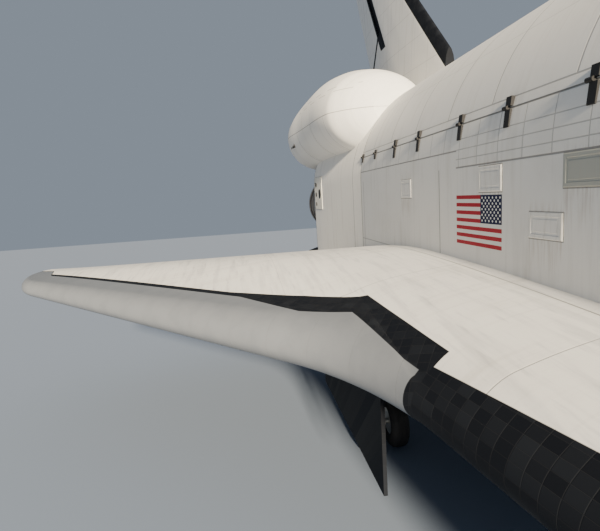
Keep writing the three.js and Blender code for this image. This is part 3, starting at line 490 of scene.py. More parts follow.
# %% Plain finishes
def plain_white(name, black, spacing=(1.05, 0.9), seams=None):
    """White skin with joints along s and h or as given, and black where the given function says."""
    finish = Finish(name)
    x, s, h = finish.level()
    joints = seams(s, h) if seams else lines(s, spacing[0], 0.010).most(lines(h, spacing[1], 0.010)) * 0.4
    white = white_parts(finish, x, s, h, joints)
    return skin_shader(finish, *layered(finish, black(abs(x), s, h), white, tile_parts(finish, s, h)))


def black_tile_finish(name):
    finish = Finish(name)
    x, s, h = finish.level()
    return skin_shader(finish, *tile_parts(finish, x, s + h))


def metal_finish(name, tone, rough, metallic):
    finish = Finish(name)
    cloud = finish.noise(4.0, 6)
    fine = finish.noise(38.0, 4)
    mixed = finish.mix(cloud.ramp(0.45, 0.8) * 0.3, tone, tuple(0.55 * c for c in tone))
    rough = cloud * 0.2 + fine * 0.1 + (rough - 0.15)
    normal = finish.bump(fine, 0.002, 0.3)
    return finish.set(base_color=mixed, roughness=rough, metallic=metallic, normal=normal)


def rubber_finish(name):
    finish = Finish(name)
    cloud = finish.noise(3.0, 4)
    tone = finish.mix(cloud.ramp(0.4, 0.8) * 0.6, (0.022, 0.022, 0.023), (0.07, 0.067, 0.062))
    normal = finish.bump(finish.noise(55.0, 5), 0.002, 0.5)
    return finish.set(base_color=tone, roughness=0.72 + cloud * 0.2, normal=normal)


def glass_finish(name):
    finish = Finish(name)
    rough = 0.05 + finish.noise(2.0, 3) * 0.06
    return finish.set(base_color=(0.012, 0.014, 0.018), roughness=rough, coat_weight=0.5)


def carbon_finish(name):
    finish = Finish(name)
    cloud = finish.noise(3.5, 5)
    tone = finish.mix(cloud.ramp(0.35, 0.75), (0.30, 0.31, 0.33), (0.20, 0.205, 0.22))
    return finish.set(base_color=tone, roughness=0.36 + cloud * 0.15, normal=finish.bump(cloud, 0.004, 0.2))


def paint_finish(name, tone, dirt):
    """Painted metal with streaks that run down it. The tone is a colour, or a function of s and h."""
    finish = Finish(name)
    x, s, h = finish.level()
    streak = finish.noise(1.0, 5, finish.vector(x * 0.3, s * 22.0, h * 2.2))
    cloud = finish.noise(6.0, 4)
    soil = (streak.ramp(0.45, 0.75) * dirt + cloud.ramp(0.5, 0.8) * 0.12).limited()
    mixed = finish.mix(soil, tone(finish, s, h) if callable(tone) else tone, DIRT)
    return finish.set(base_color=mixed, roughness=0.45 + cloud * 0.2, normal=finish.bump(cloud, 0.002, 0.3))


black_tiles = black_tile_finish("black_tiles")
dark_metal = metal_finish("hinge_black", (0.010, 0.010, 0.012), 0.75, 0.0)
gear_metal = metal_finish("gear_metal", (0.62, 0.63, 0.64), 0.45, 0.85)
wheel_metal = metal_finish("wheel_metal", (0.72, 0.72, 0.70), 0.42, 0.9)
cabin_metal = metal_finish("cabin_metal", (0.33, 0.35, 0.36), 0.6, 0.1)
rubber = rubber_finish("rubber")
glass = glass_finish("glass")
carbon = carbon_finish("carbon")
print("plain finishes:", ", ".join(m.name for m in bpy.data.materials))

# %% [markdown]
# The side carries a band of small panels under the doors, long seams, raised vent doors and the striped flag.
# Each is a mask between limits of s and h, so the same few functions draw them all.

# %% Fuselage finish
BAY = (8.661, 27.229)  # from bulkhead to bulkhead
BASE = 32.334
HINGE_H = 3.505  # of the bay doors
UPPER_H = 3.64  # of the doors' lower seam
BAND = (2.855, 3.115)  # lower edge of the panelled band ahead of and behind its step
BAND_STEP = 21.80
BAND_ROWS = (2.98, 3.125, 3.28)
BAND_START, BAND_CELL = 19.09, 0.525  # s of one upright joint of the band, and from joint to joint
LONG_SEAM = 1.32  # h of the seam along the mid side
MID_SEAM, SEAM_STEP = 22.4, 4.6  # s of the bolder upright seam, and from seam to seam
AFT_SEAMS = (27.9, 30.1)
NOSE_CELL = (1.15, 0.75)  # along s and h
DOOR_ROW = 0.95  # from seam to seam up the doors
DOOR_JOINTS = (9.9, 11.3, 12.7, 14.1, 15.5, 16.8, 18.1, 19.41, 20.97, 22.27, 23.65, 25.05, 26.3)
FLAG = (20.55, 21.79, 1.675, 2.425)  # s and h limits
CANTON = (21.08, 2.02)  # s and h of the starred corner's inner corner
STRIPES = 13
STAR_COLUMNS, STAR_ROWS = 6, 5  # of two grids, the second half a step away
STAR_RADIUS = 0.0165
PLATE = (31.25, 32.20, 2.06, 3.24)  # of the ground cables, s and h limits
WINDOW_TILES = (3.72, 5.62), (3.25, 5.02)  # s and h limits of the black round the cabin windows
# s and h limits of the raised vent doors on each side
VENTS = [
    (20.55, 21.12, 2.465, 2.82), (19.41, 19.98, 1.90, 2.21),
    (18.24, 19.42, 2.48, 2.84), (23.64, 24.19, 2.40, 2.765),
    (15.6, 16.2, 2.44, 2.80), (12.6, 13.2, 2.44, 2.80), (9.7, 10.3, 2.44, 2.80),
]
STREAKED_VENTS = 4  # the first of them, nearest to the wing


def outline_round(s, h, limits, width):
    """1 on a thin line just outside a rectangle of s and h limits."""
    ds = abs(s - (limits[0] + limits[1]) / 2) - (limits[1] - limits[0]) / 2
    dh = abs(h - (limits[2] + limits[3]) / 2) - (limits[3] - limits[2]) / 2
    return between(ds.most(dh), -0.004, width)


def fuselage_joints(s, h):
    """The joint lines of the fuselage side and the doors."""
    middle = between(s, *BAY)
    aft = (s - BAND_STEP).above(0.002)
    low = aft * (BAND[1] - BAND[0]) + BAND[0]
    band = (h - low).above(0.004) * (HINGE_H - h).above(0.004)
    rows = greatest(*[near(h, row, 0.009) for row in BAND_ROWS]) * (1 - aft)
    grid = lines(s - BAND_START, BAND_CELL, 0.010).most(rows) * band * middle
    rims = near(h - low, 0.0, 0.015), near(h, HINGE_H, 0.018), near(h, UPPER_H, 0.013) * 0.8
    upright = near(s, MID_SEAM, 0.016).most(lines(s - MID_SEAM, SEAM_STEP, 0.014))
    side = between(h, 0.4, BAND[0]) * middle * upright.most(near(h, LONG_SEAM, 0.014) * 0.7)
    rear = between(h, 0.8, 4.4) * near(s, AFT_SEAMS[0], 0.02).most(near(s, AFT_SEAMS[1], 0.014) * 0.6)
    cells = lines(s, NOSE_CELL[0], 0.012).most(lines(h, NOSE_CELL[1], 0.010))
    front = (BAY[0] - s).above(0.002) * cells * 0.6
    across = greatest(*[near(s, place, 0.016) for place in DOOR_JOINTS])
    doors = (h - UPPER_H).above(0.002) * middle * across.most(lines(h - UPPER_H, DOOR_ROW, 0.010) * 0.4)
    frames = [outline_round(s, h, vent, 0.012) for vent in VENTS]
    bulkheads = [near(s, place, 0.03) for place in BAY]
    return greatest(grid * 0.65, greatest(*rims) * middle, side, rear, front, doors * 0.8,
                    outline_round(s, h, PLATE, 0.014), *frames, *bulkheads)


def flag_parts(finish, x, s, h):
    """1 on the striped flag of the side, and its colour. Its starred corner is towards the nose."""
    inside = between(s, FLAG[0], FLAG[1], 0.002) * between(h, FLAG[2], FLAG[3], 0.002) * (abs(x) > 2.5)
    red = ((h - FLAG[2]) / (FLAG[3] - FLAG[2]) * (STRIPES / 2)).fract() < 0.5
    pale = (0.78, 0.77, 0.74)
    tone = finish.mix(red, pale, (0.40, 0.02, 0.035))
    u = (s - FLAG[0]) / (CANTON[0] - FLAG[0])
    v = (h - CANTON[1]) / (FLAG[3] - CANTON[1])

    def dots(shift):
        du = ((u * STAR_COLUMNS + shift).fract() - 0.5) * ((CANTON[0] - FLAG[0]) / STAR_COLUMNS)
        dv = ((v * STAR_ROWS + shift).fract() - 0.5) * ((FLAG[3] - CANTON[1]) / STAR_ROWS)
        return (du * du + dv * dv) < STAR_RADIUS**2

    stars = dots(0.0).most(dots(0.5) * between(u, 0.09, 0.91) * between(v, 0.11, 0.89))
    corner = (s < CANTON[0]) * (h > CANTON[1])
    return inside, finish.mix(corner, tone, finish.mix(stars, (0.012, 0.017, 0.06), pale))


def vent_dirt(finish, s, h):
    """Brown streaks that run down from the vent doors, and shorter ones above them."""
    streaks = []
    for start, end, low, high in VENTS[:STREAKED_VENTS]:
        column = between(s, start, end, 0.02)
        streaks.append(column * (low + 0.01 - h).above(0.004) * (h - low + 0.62).ramp(0.0, 0.62))
        streaks.append(column * (h - high).above(0.004) * (high + 0.2 - h).ramp(0.0, 0.2) * 0.6)
    return greatest(*streaks) * finish.noise(1.0, 5, finish.vector(0.0, s * 26.0, h * 1.6)).ramp(0.40, 0.70)


def fuselage_black(s, h):
    """1 on the black tiles: the belly, the lower nose, round the cabin windows and the flat base."""
    nose_line = 1.72 - (s - 1.0).most(0.0) * 0.29
    lower = (nose_line.most(0.34) - h).above(0.01)
    windows = between(s, *WINDOW_TILES[0]) * between(h, *WINDOW_TILES[1]) * (s * 0.55 + h).ramp(5.62, 5.66)
    return greatest(lower, windows, (s - BASE + 0.02).above(0.005)).limited()


def fuselage_finish(name):
    finish = Finish(name)
    x, s, h = finish.level()
    tone, rough, height = white_parts(finish, x, s, h, fuselage_joints(s, h))
    tone = finish.mix(vent_dirt(finish, s, h) * 0.34, tone, (0.26, 0.16, 0.09))
    inside, flag = flag_parts(finish, x, s, h)
    white = (finish.mix(inside, tone, flag), rough, height)
    return skin_shader(finish, *layered(finish, fuselage_black(s, h), white, tile_parts(finish, s, x + h)))


skin = fuselage_finish("fuselage_skin")
print("fuselage finish:", len(skin.node_tree.nodes), "nodes")

# %% [markdown]
# The fuselage is a loft: at each place along it the section is two half super-ellipses, a flat-bottomed one
# below its widest line and a round one above. A short table gives the numbers, and a curve that never
# overshoots joins its rows.

# %% Fuselage sections
# s, bottom, top, height of the widest line, half width, squareness below and above
HULL = np.array([
    [0, 1.466, 1.474, 1.470, 0.004, 2, 2],
    [0.06, 1.270, 1.680, 1.465, 0.220, 2, 2],
    [0.25, 1.000, 1.960, 1.400, 0.530, 2.1, 2],
    [0.6, 0.730, 2.290, 1.290, 0.900, 2.3, 2],
    [1.2, 0.500, 2.640, 1.160, 1.280, 2.6, 2],
    [2.0, 0.340, 2.985, 1.060, 1.590, 3, 2.05],
    [2.9, 0.230, 3.290, 0.990, 1.830, 3.3, 2.1],
    [3.7, 0.170, 3.580, 0.960, 2.010, 3.6, 2.15],
    [4.3, 0.135, 4.120, 0.990, 2.130, 3.9, 2.1],
    [4.9, 0.110, 4.700, 1.100, 2.240, 4.2, 2.1],
    [5.4, 0.090, 5.090, 1.300, 2.330, 4.6, 2.1],
    [6.0, 0.070, 5.350, 1.600, 2.420, 5.5, 2.1],
    [6.8, 0.045, 5.490, 2.050, 2.520, 7, 2.06],
    [7.7, 0.020, 5.530, 2.500, 2.610, 10, 2.02],
    [8.661, 0, 5.537, 2.870, 2.667, 16, 2],
    [27.160, 0, 5.537, 2.870, 2.667, 16, 2],
    [27.560, 0, 5.537, 2.870, 2.698, 16, 2],
    [32.160, 0, 5.537, 2.870, 3.056, 16, 2],
    [32.334, 0, 5.537, 2.870, 3.070, 16, 2],
])
HALF_WIDTH = 2.667
ARC_H = 2.870  # centre of the round upper half


def smooth_rows(table, at, level_ends=True):
    """The table's columns at places of its first, on cubic pieces whose slopes are harmonic means of the
    neighbours'. The curve starts and ends level, or else with the slope of its first and last row."""
    at = np.asarray(at, float)
    steps = np.diff(table, axis=0)
    rates = steps / steps[:, :1]
    slope = np.zeros_like(table)
    if not level_ends:
        slope[0], slope[-1] = rates[0], rates[-1]
    left, right = rates[:-1], rates[1:]
    same = left * right > 0
    slope[1:-1] = np.where(same, 2 * left * right / np.where(same, left + right, 1), 0)
    k = np.clip(np.searchsorted(table[:, 0], at, side="right") - 1, 0, len(table) - 2)
    length = steps[k, :1]
    t = (at[:, None] - table[k, :1]) / length
    p, q, m, n = table[k], table[k + 1], slope[k] * length, slope[k + 1] * length
    d = q - p
    return p + t * (m + t * (3 * d - 2 * m - n + t * (m + n - 2 * d)))


def hull_grid(s, around=160, offset=0.0):
    """Rings of the skin, moved out by offset: x = w * |cos a|^(2/n), h = mid + reach * |sin a|^(2/n)."""
    rows = smooth_rows(HULL, s)
    rows[:, 0] = s
    _, bottom, top, mid, width, low, up = (rows[:, i:i + 1] for i in range(7))
    a = np.linspace(0, 2 * np.pi, around, endpoint=False)[None, :] - np.pi / 2
    below = np.sin(a) < 0
    power = 2 / np.where(below, low, up)
    share = np.abs(np.sin(a)) ** power
    share = np.where(below & (low > 8) & (share > 0.995), 1, share)
    reach = np.where(below, mid - bottom, top - mid) + offset
    x = np.sign(np.cos(a)) * (width + offset) * np.abs(np.cos(a)) ** power
    h = mid + np.sign(np.sin(a)) * reach * share
    return np.stack([x, np.broadcast_to(rows[:, :1], x.shape), h], -1)


def hull_part(start, end, steps, offset=0.0, around=160):
    """The closed fuselage body between two places."""
    return placed(hull_grid(np.linspace(start, end, steps), around, offset)), True


# %% [markdown]
# A piece that is ready gets its material and takes the place of the frame's node or nodes that it names,
# which are hidden. It is tied to the body that it rides on, so that it moves with the right joint.

# %% Finished pieces
def finished(obj, material, node, body="airframe"):
    """Gives the piece its material and puts it in the place of its node or nodes, if it has any."""
    obj.data.materials.clear()
    obj.data.materials.append(material)
    names = [node] if isinstance(node, str) else node
    if names:
        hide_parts(*names)
    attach(obj, body)
    print(f"{obj.name}: {len(obj.data.polygons)} faces")


# %% [markdown]
# The forward fuselage is cut from that body: a cabin hollow with its windows, the round hatch, the nose wheel
# well and the bed of the thruster module. Most cuts are plain prisms, as a joiner cuts a mortise.

# %% Forward fuselage
CAP_END = 0.62  # s of the nose cap's rear edge
GAP = 0.0003  # between pieces that touch
CABIN = (4.35, 8.48)  # s of its ends
CABIN_FLOOR = 0.9
WALL = 0.12
# Corners of the windows: x and h in front, s and h at the side, x and s in the roof and at the rear
FRONT_WINDOWS = [
    [(0.07, 3.86), (0.72, 3.82), (0.66, 4.48), (0.06, 4.53)],
    [(0.85, 3.80), (1.40, 3.64), (1.23, 4.24), (0.77, 4.45)],
]
SIDE_WINDOW = [(4.62, 3.42), (5.33, 3.56), (5.42, 4.18), (4.98, 4.08)]
ROOF_WINDOW = [(0.18, 5.75), (0.64, 5.77), (0.64, 6.33), (0.18, 6.33)]
REAR_WINDOW = [(0.25, 8.30), (0.95, 8.30), (0.95, 8.90), (0.25, 8.90)]
WELL_HALF = 0.56  # half width of the nose wheel's well
WELL = (1.75, 4.15)  # s of its ends
WELL_TOP = 1.5
MODULE = (0.9, 3.35)  # s of the thruster module's ends
MODULE_HALF = 0.93
MODULE_GAP = 0.004
HATCH_PLACE = (6.9, 1.95)  # s and h of its centre
HATCH_RADIUS = 0.51


def module_prism(gap):
    """The room of the thruster module in the top of the nose, over its sloping floor."""
    floor = [(MODULE[0] - gap, 2.15 - gap), (MODULE[1] + gap, 2.7 - gap)]
    outline = floor + [(MODULE[1] + gap, 5.0), (MODULE[0] - gap, 5.0)]
    return prism(outline, (-MODULE_HALF - gap, MODULE_HALF + gap), "sh")


def window_prisms():
    """Plain prisms through the skin where the windows are, on both sides."""
    parts = [prism(outline, (3.5, 5.3)) for outline in FRONT_WINDOWS]
    parts += [prism(SIDE_WINDOW, (0.9, 2.6), "sh"), prism(ROOF_WINDOW, (4.9, 5.8), "xs")]
    parts += [prism(REAR_WINDOW, (4.1, 4.7), "xs")]
    return parts + mirror(parts)


def forward_fuselage():
    body = mesh_object("forward_body", [hull_part(CAP_END + GAP, BAY[0] - GAP, 150)])
    cabin = mesh_object("cabin_tool", [hull_part(*CABIN, 60, -WALL)])
    carved(cabin, box((-3, 3), CABIN, (-1, CABIN_FLOOR)))
    hatch_hole = bar((1.5, *HATCH_PLACE), (3.0, *HATCH_PLACE), HATCH_RADIUS + 0.01, 64)
    well = box((-WELL_HALF, WELL_HALF), WELL, (-0.1, WELL_TOP))
    return carved(body, cabin, hatch_hole, well, module_prism(MODULE_GAP), *window_prisms())


finished(forward_fuselage(), skin, "forward_fuselage")

# %% [markdown]
# The nose cap is one grey carbon shell. Behind it, on top, sits the thruster module: a block of the same skin
# with round mouths bored into it, three upwards and three to each side.

# %% Nose
UP_THRUSTERS = [(-0.3, 1.5, 0.095), (0.0, 1.5, 0.095), (0.3, 1.5, 0.095)]  # x, s, radius
SIDE_THRUSTERS = [(2.56, 2.35, 0.09), (2.70, 2.75, 0.09), (2.48, 2.80, 0.09)]  # h, s, radius


def nose_cap():
    """The skin's first rings, close together at the blunt tip."""
    stations = CAP_END * np.linspace(0.0, 1, 36) ** 2.2
    return mesh_object("nose_cap_skin", [(placed(hull_grid(stations)), True)])


def nose_module():
    block = mesh_object("nose_module_skin", [hull_part(MODULE[0] - 0.2, MODULE[1] + 0.2, 70)])
    carved(block, module_prism(0), operation="INTERSECT")
    holes = [bar((x, s, 2.3), (x, s - 0.25, 3.1), r, 40) for x, s, r in UP_THRUSTERS]
    flank = [bar((0.5, s, h - 0.06), (1.6, s, h + 0.06), r, 40) for h, s, r in SIDE_THRUSTERS]
    return carved(block, *holes, *flank, *mirror(flank))


finished(nose_cap(), carbon, "nose_cap")
finished(nose_module(), skin, "nose_thruster_module")

# %% [markdown]
# The cargo bay is a long trough with thin frames and rails along its wall, finished as pale quilted cloth. An
# outline of x and h carried along the craft gives it, and two curved doors close it.

# %% Mid fuselage
SIDES = {"port": 1, "starboard": -1}
BAY_RADIUS = 2.286
BAY_H = 2.997  # centre of the bay's round inside
DOOR_EDGE = math.sqrt(HALF_WIDTH**2 - (HINGE_H - ARC_H) ** 2)  # half width at the doors' hinge line


def arc(radius, start, end, count, centre_h=ARC_H):
    """Points (x, h) on a circle between two angles."""
    a = np.linspace(start, end, count)
    return np.stack([radius * np.cos(a), centre_h + radius * np.sin(a)], -1)


def trough_outline():
    """The skin's section up to the hinge line, then back along the bay's round inside."""
    ring = hull_grid([20.0], 400)[0][:, [0, 2]]
    outer = ring[ring[:, 1] < HINGE_H]
    port, starboard = outer[outer[:, 0] >= 0], outer[outer[:, 0] < 0]
    port = port[np.argsort(port[:, 1] - port[:, 0] * 1e-3)]
    starboard = starboard[np.argsort(-starboard[:, 1] - starboard[:, 0] * 1e-3)]
    inner = arc(BAY_RADIUS, 0, -math.pi, 90, BAY_H)
    sills = [[(DOOR_EDGE, HINGE_H), (BAY_RADIUS, HINGE_H)], [(-BAY_RADIUS, HINGE_H), (-DOOR_EDGE, HINGE_H)]]
    return np.vstack([port, sills[0], inner, sills[1], starboard])


def bay_frames():
    """Thin half rings on the trough's wall and a rail along each sill."""
    outer = arc(BAY_RADIUS + 0.01, 0, -math.pi, 48, BAY_H)
    inner = arc(BAY_RADIUS - 0.07, -math.pi, 0, 48, BAY_H)
    frames = [prism(np.vstack([outer, inner]), (s - 0.035, s + 0.035)) for s in np.arange(9.45, 27, 1.15)]
    rails = [box(sorted((sign * 2.21, sign * 2.3)), BAY, (3.36, 3.47)) for sign in SIDES.values()]
    return mesh_object("bay_frames", frames + rails)


def liner_finish(name):
    """Pale quilted cloth with seams."""
    finish = Finish(name)
    _, s, h = finish.level()
    seams = lines(s, 0.575, 0.014).most(lines(h, 0.5, 0.014))
    cloud = finish.noise(3.0, 5)
    tone = finish.mix(cloud.ramp(0.4, 0.8) * 0.3, (0.72, 0.71, 0.68), (0.55, 0.54, 0.50))
    tone = finish.mix(seams * 0.5, tone, (0.35, 0.34, 0.32))
    normal = finish.bump(cloud - seams, 0.01, 0.6)
    return finish.set(base_color=tone, roughness=0.75 + cloud * 0.1, normal=normal)


trough = mesh_object("mid_fuselage_skin", [prism(trough_outline(), np.linspace(BAY[0], BAY[1] - GAP, 40))])
finished(trough, skin, "mid_fuselage")
finished(bay_frames(), liner_finish("bay_liner"), [])

# %% [markdown]
# The doors' inner faces carry silvery radiators, so their finish asks how far a point is from the axis of the
# round upper half. Black hinge bars stand along each door, one half of each on it, the other on the fuselage.

# %% Bay doors
HINGES = (9.40, 10.70, 12.10, 13.50, 14.90, 16.30, 17.70, 19.10, 20.50, 21.74, 23.36, 24.64, 26.03, 27.12)
SHORT_FROM = 25.5  # aft of here the bars are short
AXIS_RADIUS = 2.701  # from the centre of the round upper half to the doors' hinge axis
HINGE_ANGLE = math.asin((HINGE_H - ARC_H) / HALF_WIDTH)
DOOR_INNER = HALF_WIDTH - 0.11
# x and h of a bar's outer face, on the fuselage and on the door
LONG_BARS = [(2.655, 3.27), (2.628, 3.488)], [(2.622, 3.530), (2.606, 3.65)]
SHORT_BARS = [(2.645, 3.37), (2.628, 3.488)], [(2.622, 3.530), (2.606, 3.59)]
BAR_HALF = 0.055
PIN = (0.095, 0.026)  # length and radius


def door(side):
    """A curved panel from just above the hinge line to just short of the roof line."""
    low, low_inner = (math.asin((HINGE_H + 0.006 - ARC_H) / radius) for radius in (HALF_WIDTH, DOOR_INNER))
    top = math.pi / 2 - 0.003
    outline = np.vstack([arc(HALF_WIDTH, low, top, 60), arc(DOOR_INNER, top, low_inner, 60)])
    panel = prism(outline, np.linspace(BAY[0] + 0.006, BAY[1] - 0.006, 34))
    return mesh_object(f"bay_door_skin_{side}", on_side(side, panel))


def hinge_bar(s, face):
    """The bar of one hinge: a flat outer face between two (x, h) places, backed by the round side."""
    angles = [math.asin((h - ARC_H) / HALF_WIDTH) for _, h in face]
    outline = np.vstack([face, arc(HALF_WIDTH - 0.03, angles[1], angles[0], 6)])
    return prism(outline, (s - BAR_HALF, s + BAR_HALF))


def hinge_pin(s):
    x, h = AXIS_RADIUS * math.cos(HINGE_ANGLE), ARC_H + AXIS_RADIUS * math.sin(HINGE_ANGLE)
    return bar((x, s, h), (x, s + PIN[0], h), PIN[1], 20)


def door_finish(name):
    """White outside, silvery radiator tubes inside."""
    finish = Finish(name)
    x, s, h = finish.level()
    up = h - ARC_H
    inside = (HALF_WIDTH - 0.03 - (x * x + up * up).maths("SQRT")).above(0.005)
    tubes = lines(s, 0.09, 0.03)
    silver = finish.mix(lines(s, 4.64, 0.05).most(tubes * 0.3), (0.70, 0.71, 0.73), (0.30, 0.31, 0.33))
    white = white_parts(finish, x, s, h, fuselage_joints(s, h))
    tone, rough, height = layered(finish, inside, white, (silver, 0.22, tubes))
    normal = finish.bump(height, 0.004, 0.7)
    return finish.set(base_color=tone, roughness=rough, metallic=inside * 0.85, normal=normal)


door_skin = door_finish("door_skin")
for side in SIDES:
    bars = [(s, SHORT_BARS if s > SHORT_FROM else LONG_BARS) for s in HINGES]
    lower = [hinge_bar(s, faces[0]) for s, faces in bars] + [hinge_pin(s) for s in HINGES]
    upper = [hinge_bar(s, faces[1]) for s, faces in bars]
    finished(door(side), door_skin, f"bay_door_{side}", f"bay_door_{side}")
    finished(mesh_object(f"bay_hinges_{side}", on_side(side, *lower)), dark_metal, [])
    leaves = mesh_object(f"bay_door_leaves_{side}", on_side(side, *upper))
    finished(leaves, dark_metal, [], f"bay_door_{side}")

# %% [markdown]
# The aft fuselage is the same round body with a step cut under the top engine. Each main engine swings in a
# hollow of its own: a ball of room with a round collar.

# %% Aft fuselage
GIMBAL = math.radians(10.5)
# Place of the gimbal, radii of the heat shield's dome and of its round edge, and angles of the thrust line
ENGINES = {
    "top": dict(place=(0, 30.734, 4.089), dome=1.400, rim=0.960, tilt=16, cant=0),
    "port": dict(place=(1.346, 31.318, 1.524), dome=1.250, rim=0.900, tilt=10, cant=3.5),
    "starboard": dict(place=(-1.346, 31.318, 1.524), dome=1.250, rim=0.900, tilt=10, cant=-3.5),
}
FLAP = dict(s=32.944, h=0.255, radius=0.240, half=3.0, length=2.057)
LIP_HALF = 3.03  # half width of the lip ahead of the flap
STEP = ((-1.33, 1.33), (31.8, BASE + 0.5), (2.9, 6.0))  # x, s and h limits of the room over the lower engines
RUNNING = 0.015  # between a moving piece and its neighbour


def thrust_line(tilt, cant):
    """The direction out of a nozzle: canted to the side, then tilted up."""
    t, c = math.radians(tilt), math.radians(cant)
    return np.array([math.sin(c) * math.cos(t), math.cos(c) * math.cos(t), math.sin(t)])


def engine_room(place, dome, rim, tilt, cant):
    """The collar round an engine's dome, the ball of room that the dome swings in, and the room's mouth."""
    reach = dome * math.cos(math.asin(rim / dome))
    collar = [(reach - 0.9, rim + 0.11), (reach + 0.03, rim + 0.11), (reach + 0.06, rim + 0.085)]
    wide = math.asin(rim / dome) + 2 * GIMBAL + 0.06
    floor, radius = (dome - 0.18) * math.cos(wide), dome + RUNNING
    ball = np.vstack([[(floor, radius * math.sin(wide))], arc(radius, wide, 0.03, 24, 0)])
    mouth = [(floor + 0.01, rim + 0.03), (4.0, rim + 0.03)]
    return [turned(profile, place, thrust_line(tilt, cant), 72) for profile in (collar, ball, mouth)]


def aft_fuselage():
    """The body with a step under the top engine, a lip for the flap, and a collar and hollow per engine."""
    body = carved(mesh_object("aft_fuselage_skin", [hull_part(BAY[1], BASE, 30)]), box(*STEP))
    end = FLAP["s"] - FLAP["radius"] * 0.5
    lip = [(BASE - 0.2, 0), (end, 0), (end - 0.06, 0.3), (end - 0.16, 0.48), (BASE - 0.2, 0.7)]
    rooms = [engine_room(**engine) for engine in ENGINES.values()]
    collars = [parts[0] for parts in rooms]
    hollows = [hollow for parts in rooms for hollow in parts[1:]]
    flap_room = bar((-3.1, FLAP["s"], FLAP["h"]), (3.1, FLAP["s"], FLAP["h"]), FLAP["radius"] + RUNNING, 64)
    carved(body, prism(lip, (-LIP_HALF, LIP_HALF), "sh"), *collars, operation="UNION")
    return carved(body, *hollows, flap_room)


finished(aft_fuselage(), skin, "aft_fuselage")

# %% [markdown]
# Raised doors and plates follow the side. Each is a stack of nested rectangles: a rectangle's inset and its
# rise above the skin make the bevel, the rim and the sunk middle.

# %% Panels on the side
def side_x(s, h, offset=0.0):
    """Half width of the fuselage at places s and heights h: x = w * (1 - share^n)^(1/n), plus an offset."""
    s, h = np.broadcast_arrays(np.asarray(s, float), np.asarray(h, float))
    rows = smooth_rows(HULL, s.ravel()).reshape(*s.shape, 7)
    bottom, top, mid, width, low, up = (rows[..., i] for i in range(1, 7))
    below = h < mid
    share = np.where(below, (mid - h) / (mid - bottom), (h - mid) / (top - mid))
    power = np.where(below, low, up)
    return width * (1 - np.clip(share, 0, 1) ** power) ** (1 / power) + offset


def raised(s_limits, h_limits, profile):
    """Nested rectangles on the side, one for each (inset, rise) of the profile."""
    t = np.linspace(0, 1, 8, endpoint=False)
    rows = []
    for inset, rise in profile:
        s0, s1 = s_limits[0] + inset, s_limits[1] - inset
        h0, h1 = h_limits[0] + inset, h_limits[1] - inset
        s = np.concatenate([s0 + (s1 - s0) * t, s1 + 0 * t, s1 + (s0 - s1) * t, s0 + 0 * t])
        h = np.concatenate([h0 + 0 * t, h0 + (h1 - h0) * t, h1 + 0 * t, h1 + (h0 - h1) * t])
        rows.append(np.stack([side_x(s, h, rise), s, h], -1))
    return placed(np.array(rows)), True


# Inset and rise of each nested rectangle
DOOR_PROFILE = [(0, -0.02), (0, 0.006), (0.012, 0.016), (0.045, 0.016), (0.055, 0.006), (0.075, 0.006),
                (0.085, 0.013)]
PLATE_PROFILE = [(0.0, -0.02), (0.0, 0.012), (0.008, 0.018)]
# s, h, radius
PORTS = [(32.02, 2.96, 0.075), (32.02, 2.60, 0.085), (32.02, 2.25, 0.075), (31.56, 2.62, 0.17)]
NOSE_PORTS = [(2.05, 2.18, 0.10), (2.45, 2.30, 0.10), (2.12, 1.80, 0.10), (2.52, 1.92, 0.10)]


def side_port(s, h, radius):
    """A round dark mouth on the side, standing just proud of it."""
    x = float(side_x(s, h))
    return bar((x - 0.05, s, h), (x + 0.024, s, h), radius, 28)


def nose_port(s, h, radius):
    """A dark thruster mouth that looks square out of the nose's round side."""
    places = np.array([(float(side_x(a, b)), a, b) for a, b in ((s, h), (s + 0.05, h), (s, h + 0.05))])
    out = np.cross(places[1] - places[0], places[2] - places[0])
    out /= np.linalg.norm(out) * np.sign(out[0])
    return bar(places[0] - 0.05 * out, places[0] + 0.012 * out, radius, 28)


def vent_tone(finish, s, h):
    """White, and a greener grey on the highest door just ahead of the flag."""
    return finish.mix(between(s, 18.2, 19.44) * (h > 2.4), (0.80, 0.79, 0.76), (0.42, 0.43, 0.39))


vents = [raised(vent[:2], vent[2:], DOOR_PROFILE) for vent in VENTS]
plates = [raised(PLATE[:2], PLATE[2:], PLATE_PROFILE)]
ports = [side_port(*port) for port in PORTS] + [nose_port(*port) for port in NOSE_PORTS]
vent_paint = paint_finish("vent_paint", vent_tone, 0.40)
plate_paint = paint_finish("plate_paint", (0.80, 0.78, 0.70), 0.25)
finished(mesh_object("vent_doors", vents + mirror(vents), 20), vent_paint, [])
finished(mesh_object("cable_plates", plates + mirror(plates), 20), plate_paint, [])
finished(mesh_object("cable_ports", ports + mirror(ports)), dark_metal, [])

# %% [markdown]
# A bulged pod beside the fin holds each manoeuvring engine. It is an ellipse that grows and fades along the
# craft, cut to sit on the round fuselage.

# %% Pods
# s, centre x, centre h, half width, half height
POD = np.array([
    [27.30, 1.640, 4.830, 0.560, 0.420],
    [27.40, 1.670, 4.850, 0.830, 0.640],
    [27.70, 1.770, 4.890, 1.190, 0.940],
    [28.20, 1.940, 4.910, 1.390, 1.150],
    [29.00, 2.068, 4.980, 1.406, 1.250],
    [30.10, 2.190, 5.040, 1.385, 1.290],
    [31.30, 2.297, 5.005, 1.385, 1.275],
    [32.50, 2.402, 4.898, 1.405, 1.270],
    [33.20, 2.464, 4.795, 1.386, 1.236],
    [33.48, 2.489, 4.754, 1.253, 1.113],
])
SMALL = dict(place=(2.235, 33.150, 5.234), tilt=15.8, cant=6.5, mouth=0.584, length=1.5)
POD_BLOCK = ((2.65, 3.35), (32.9, 33.9), (3.9, 4.56))  # limits of the thruster block under the nozzle
POD_END = 33.36  # from here aft the pod is black


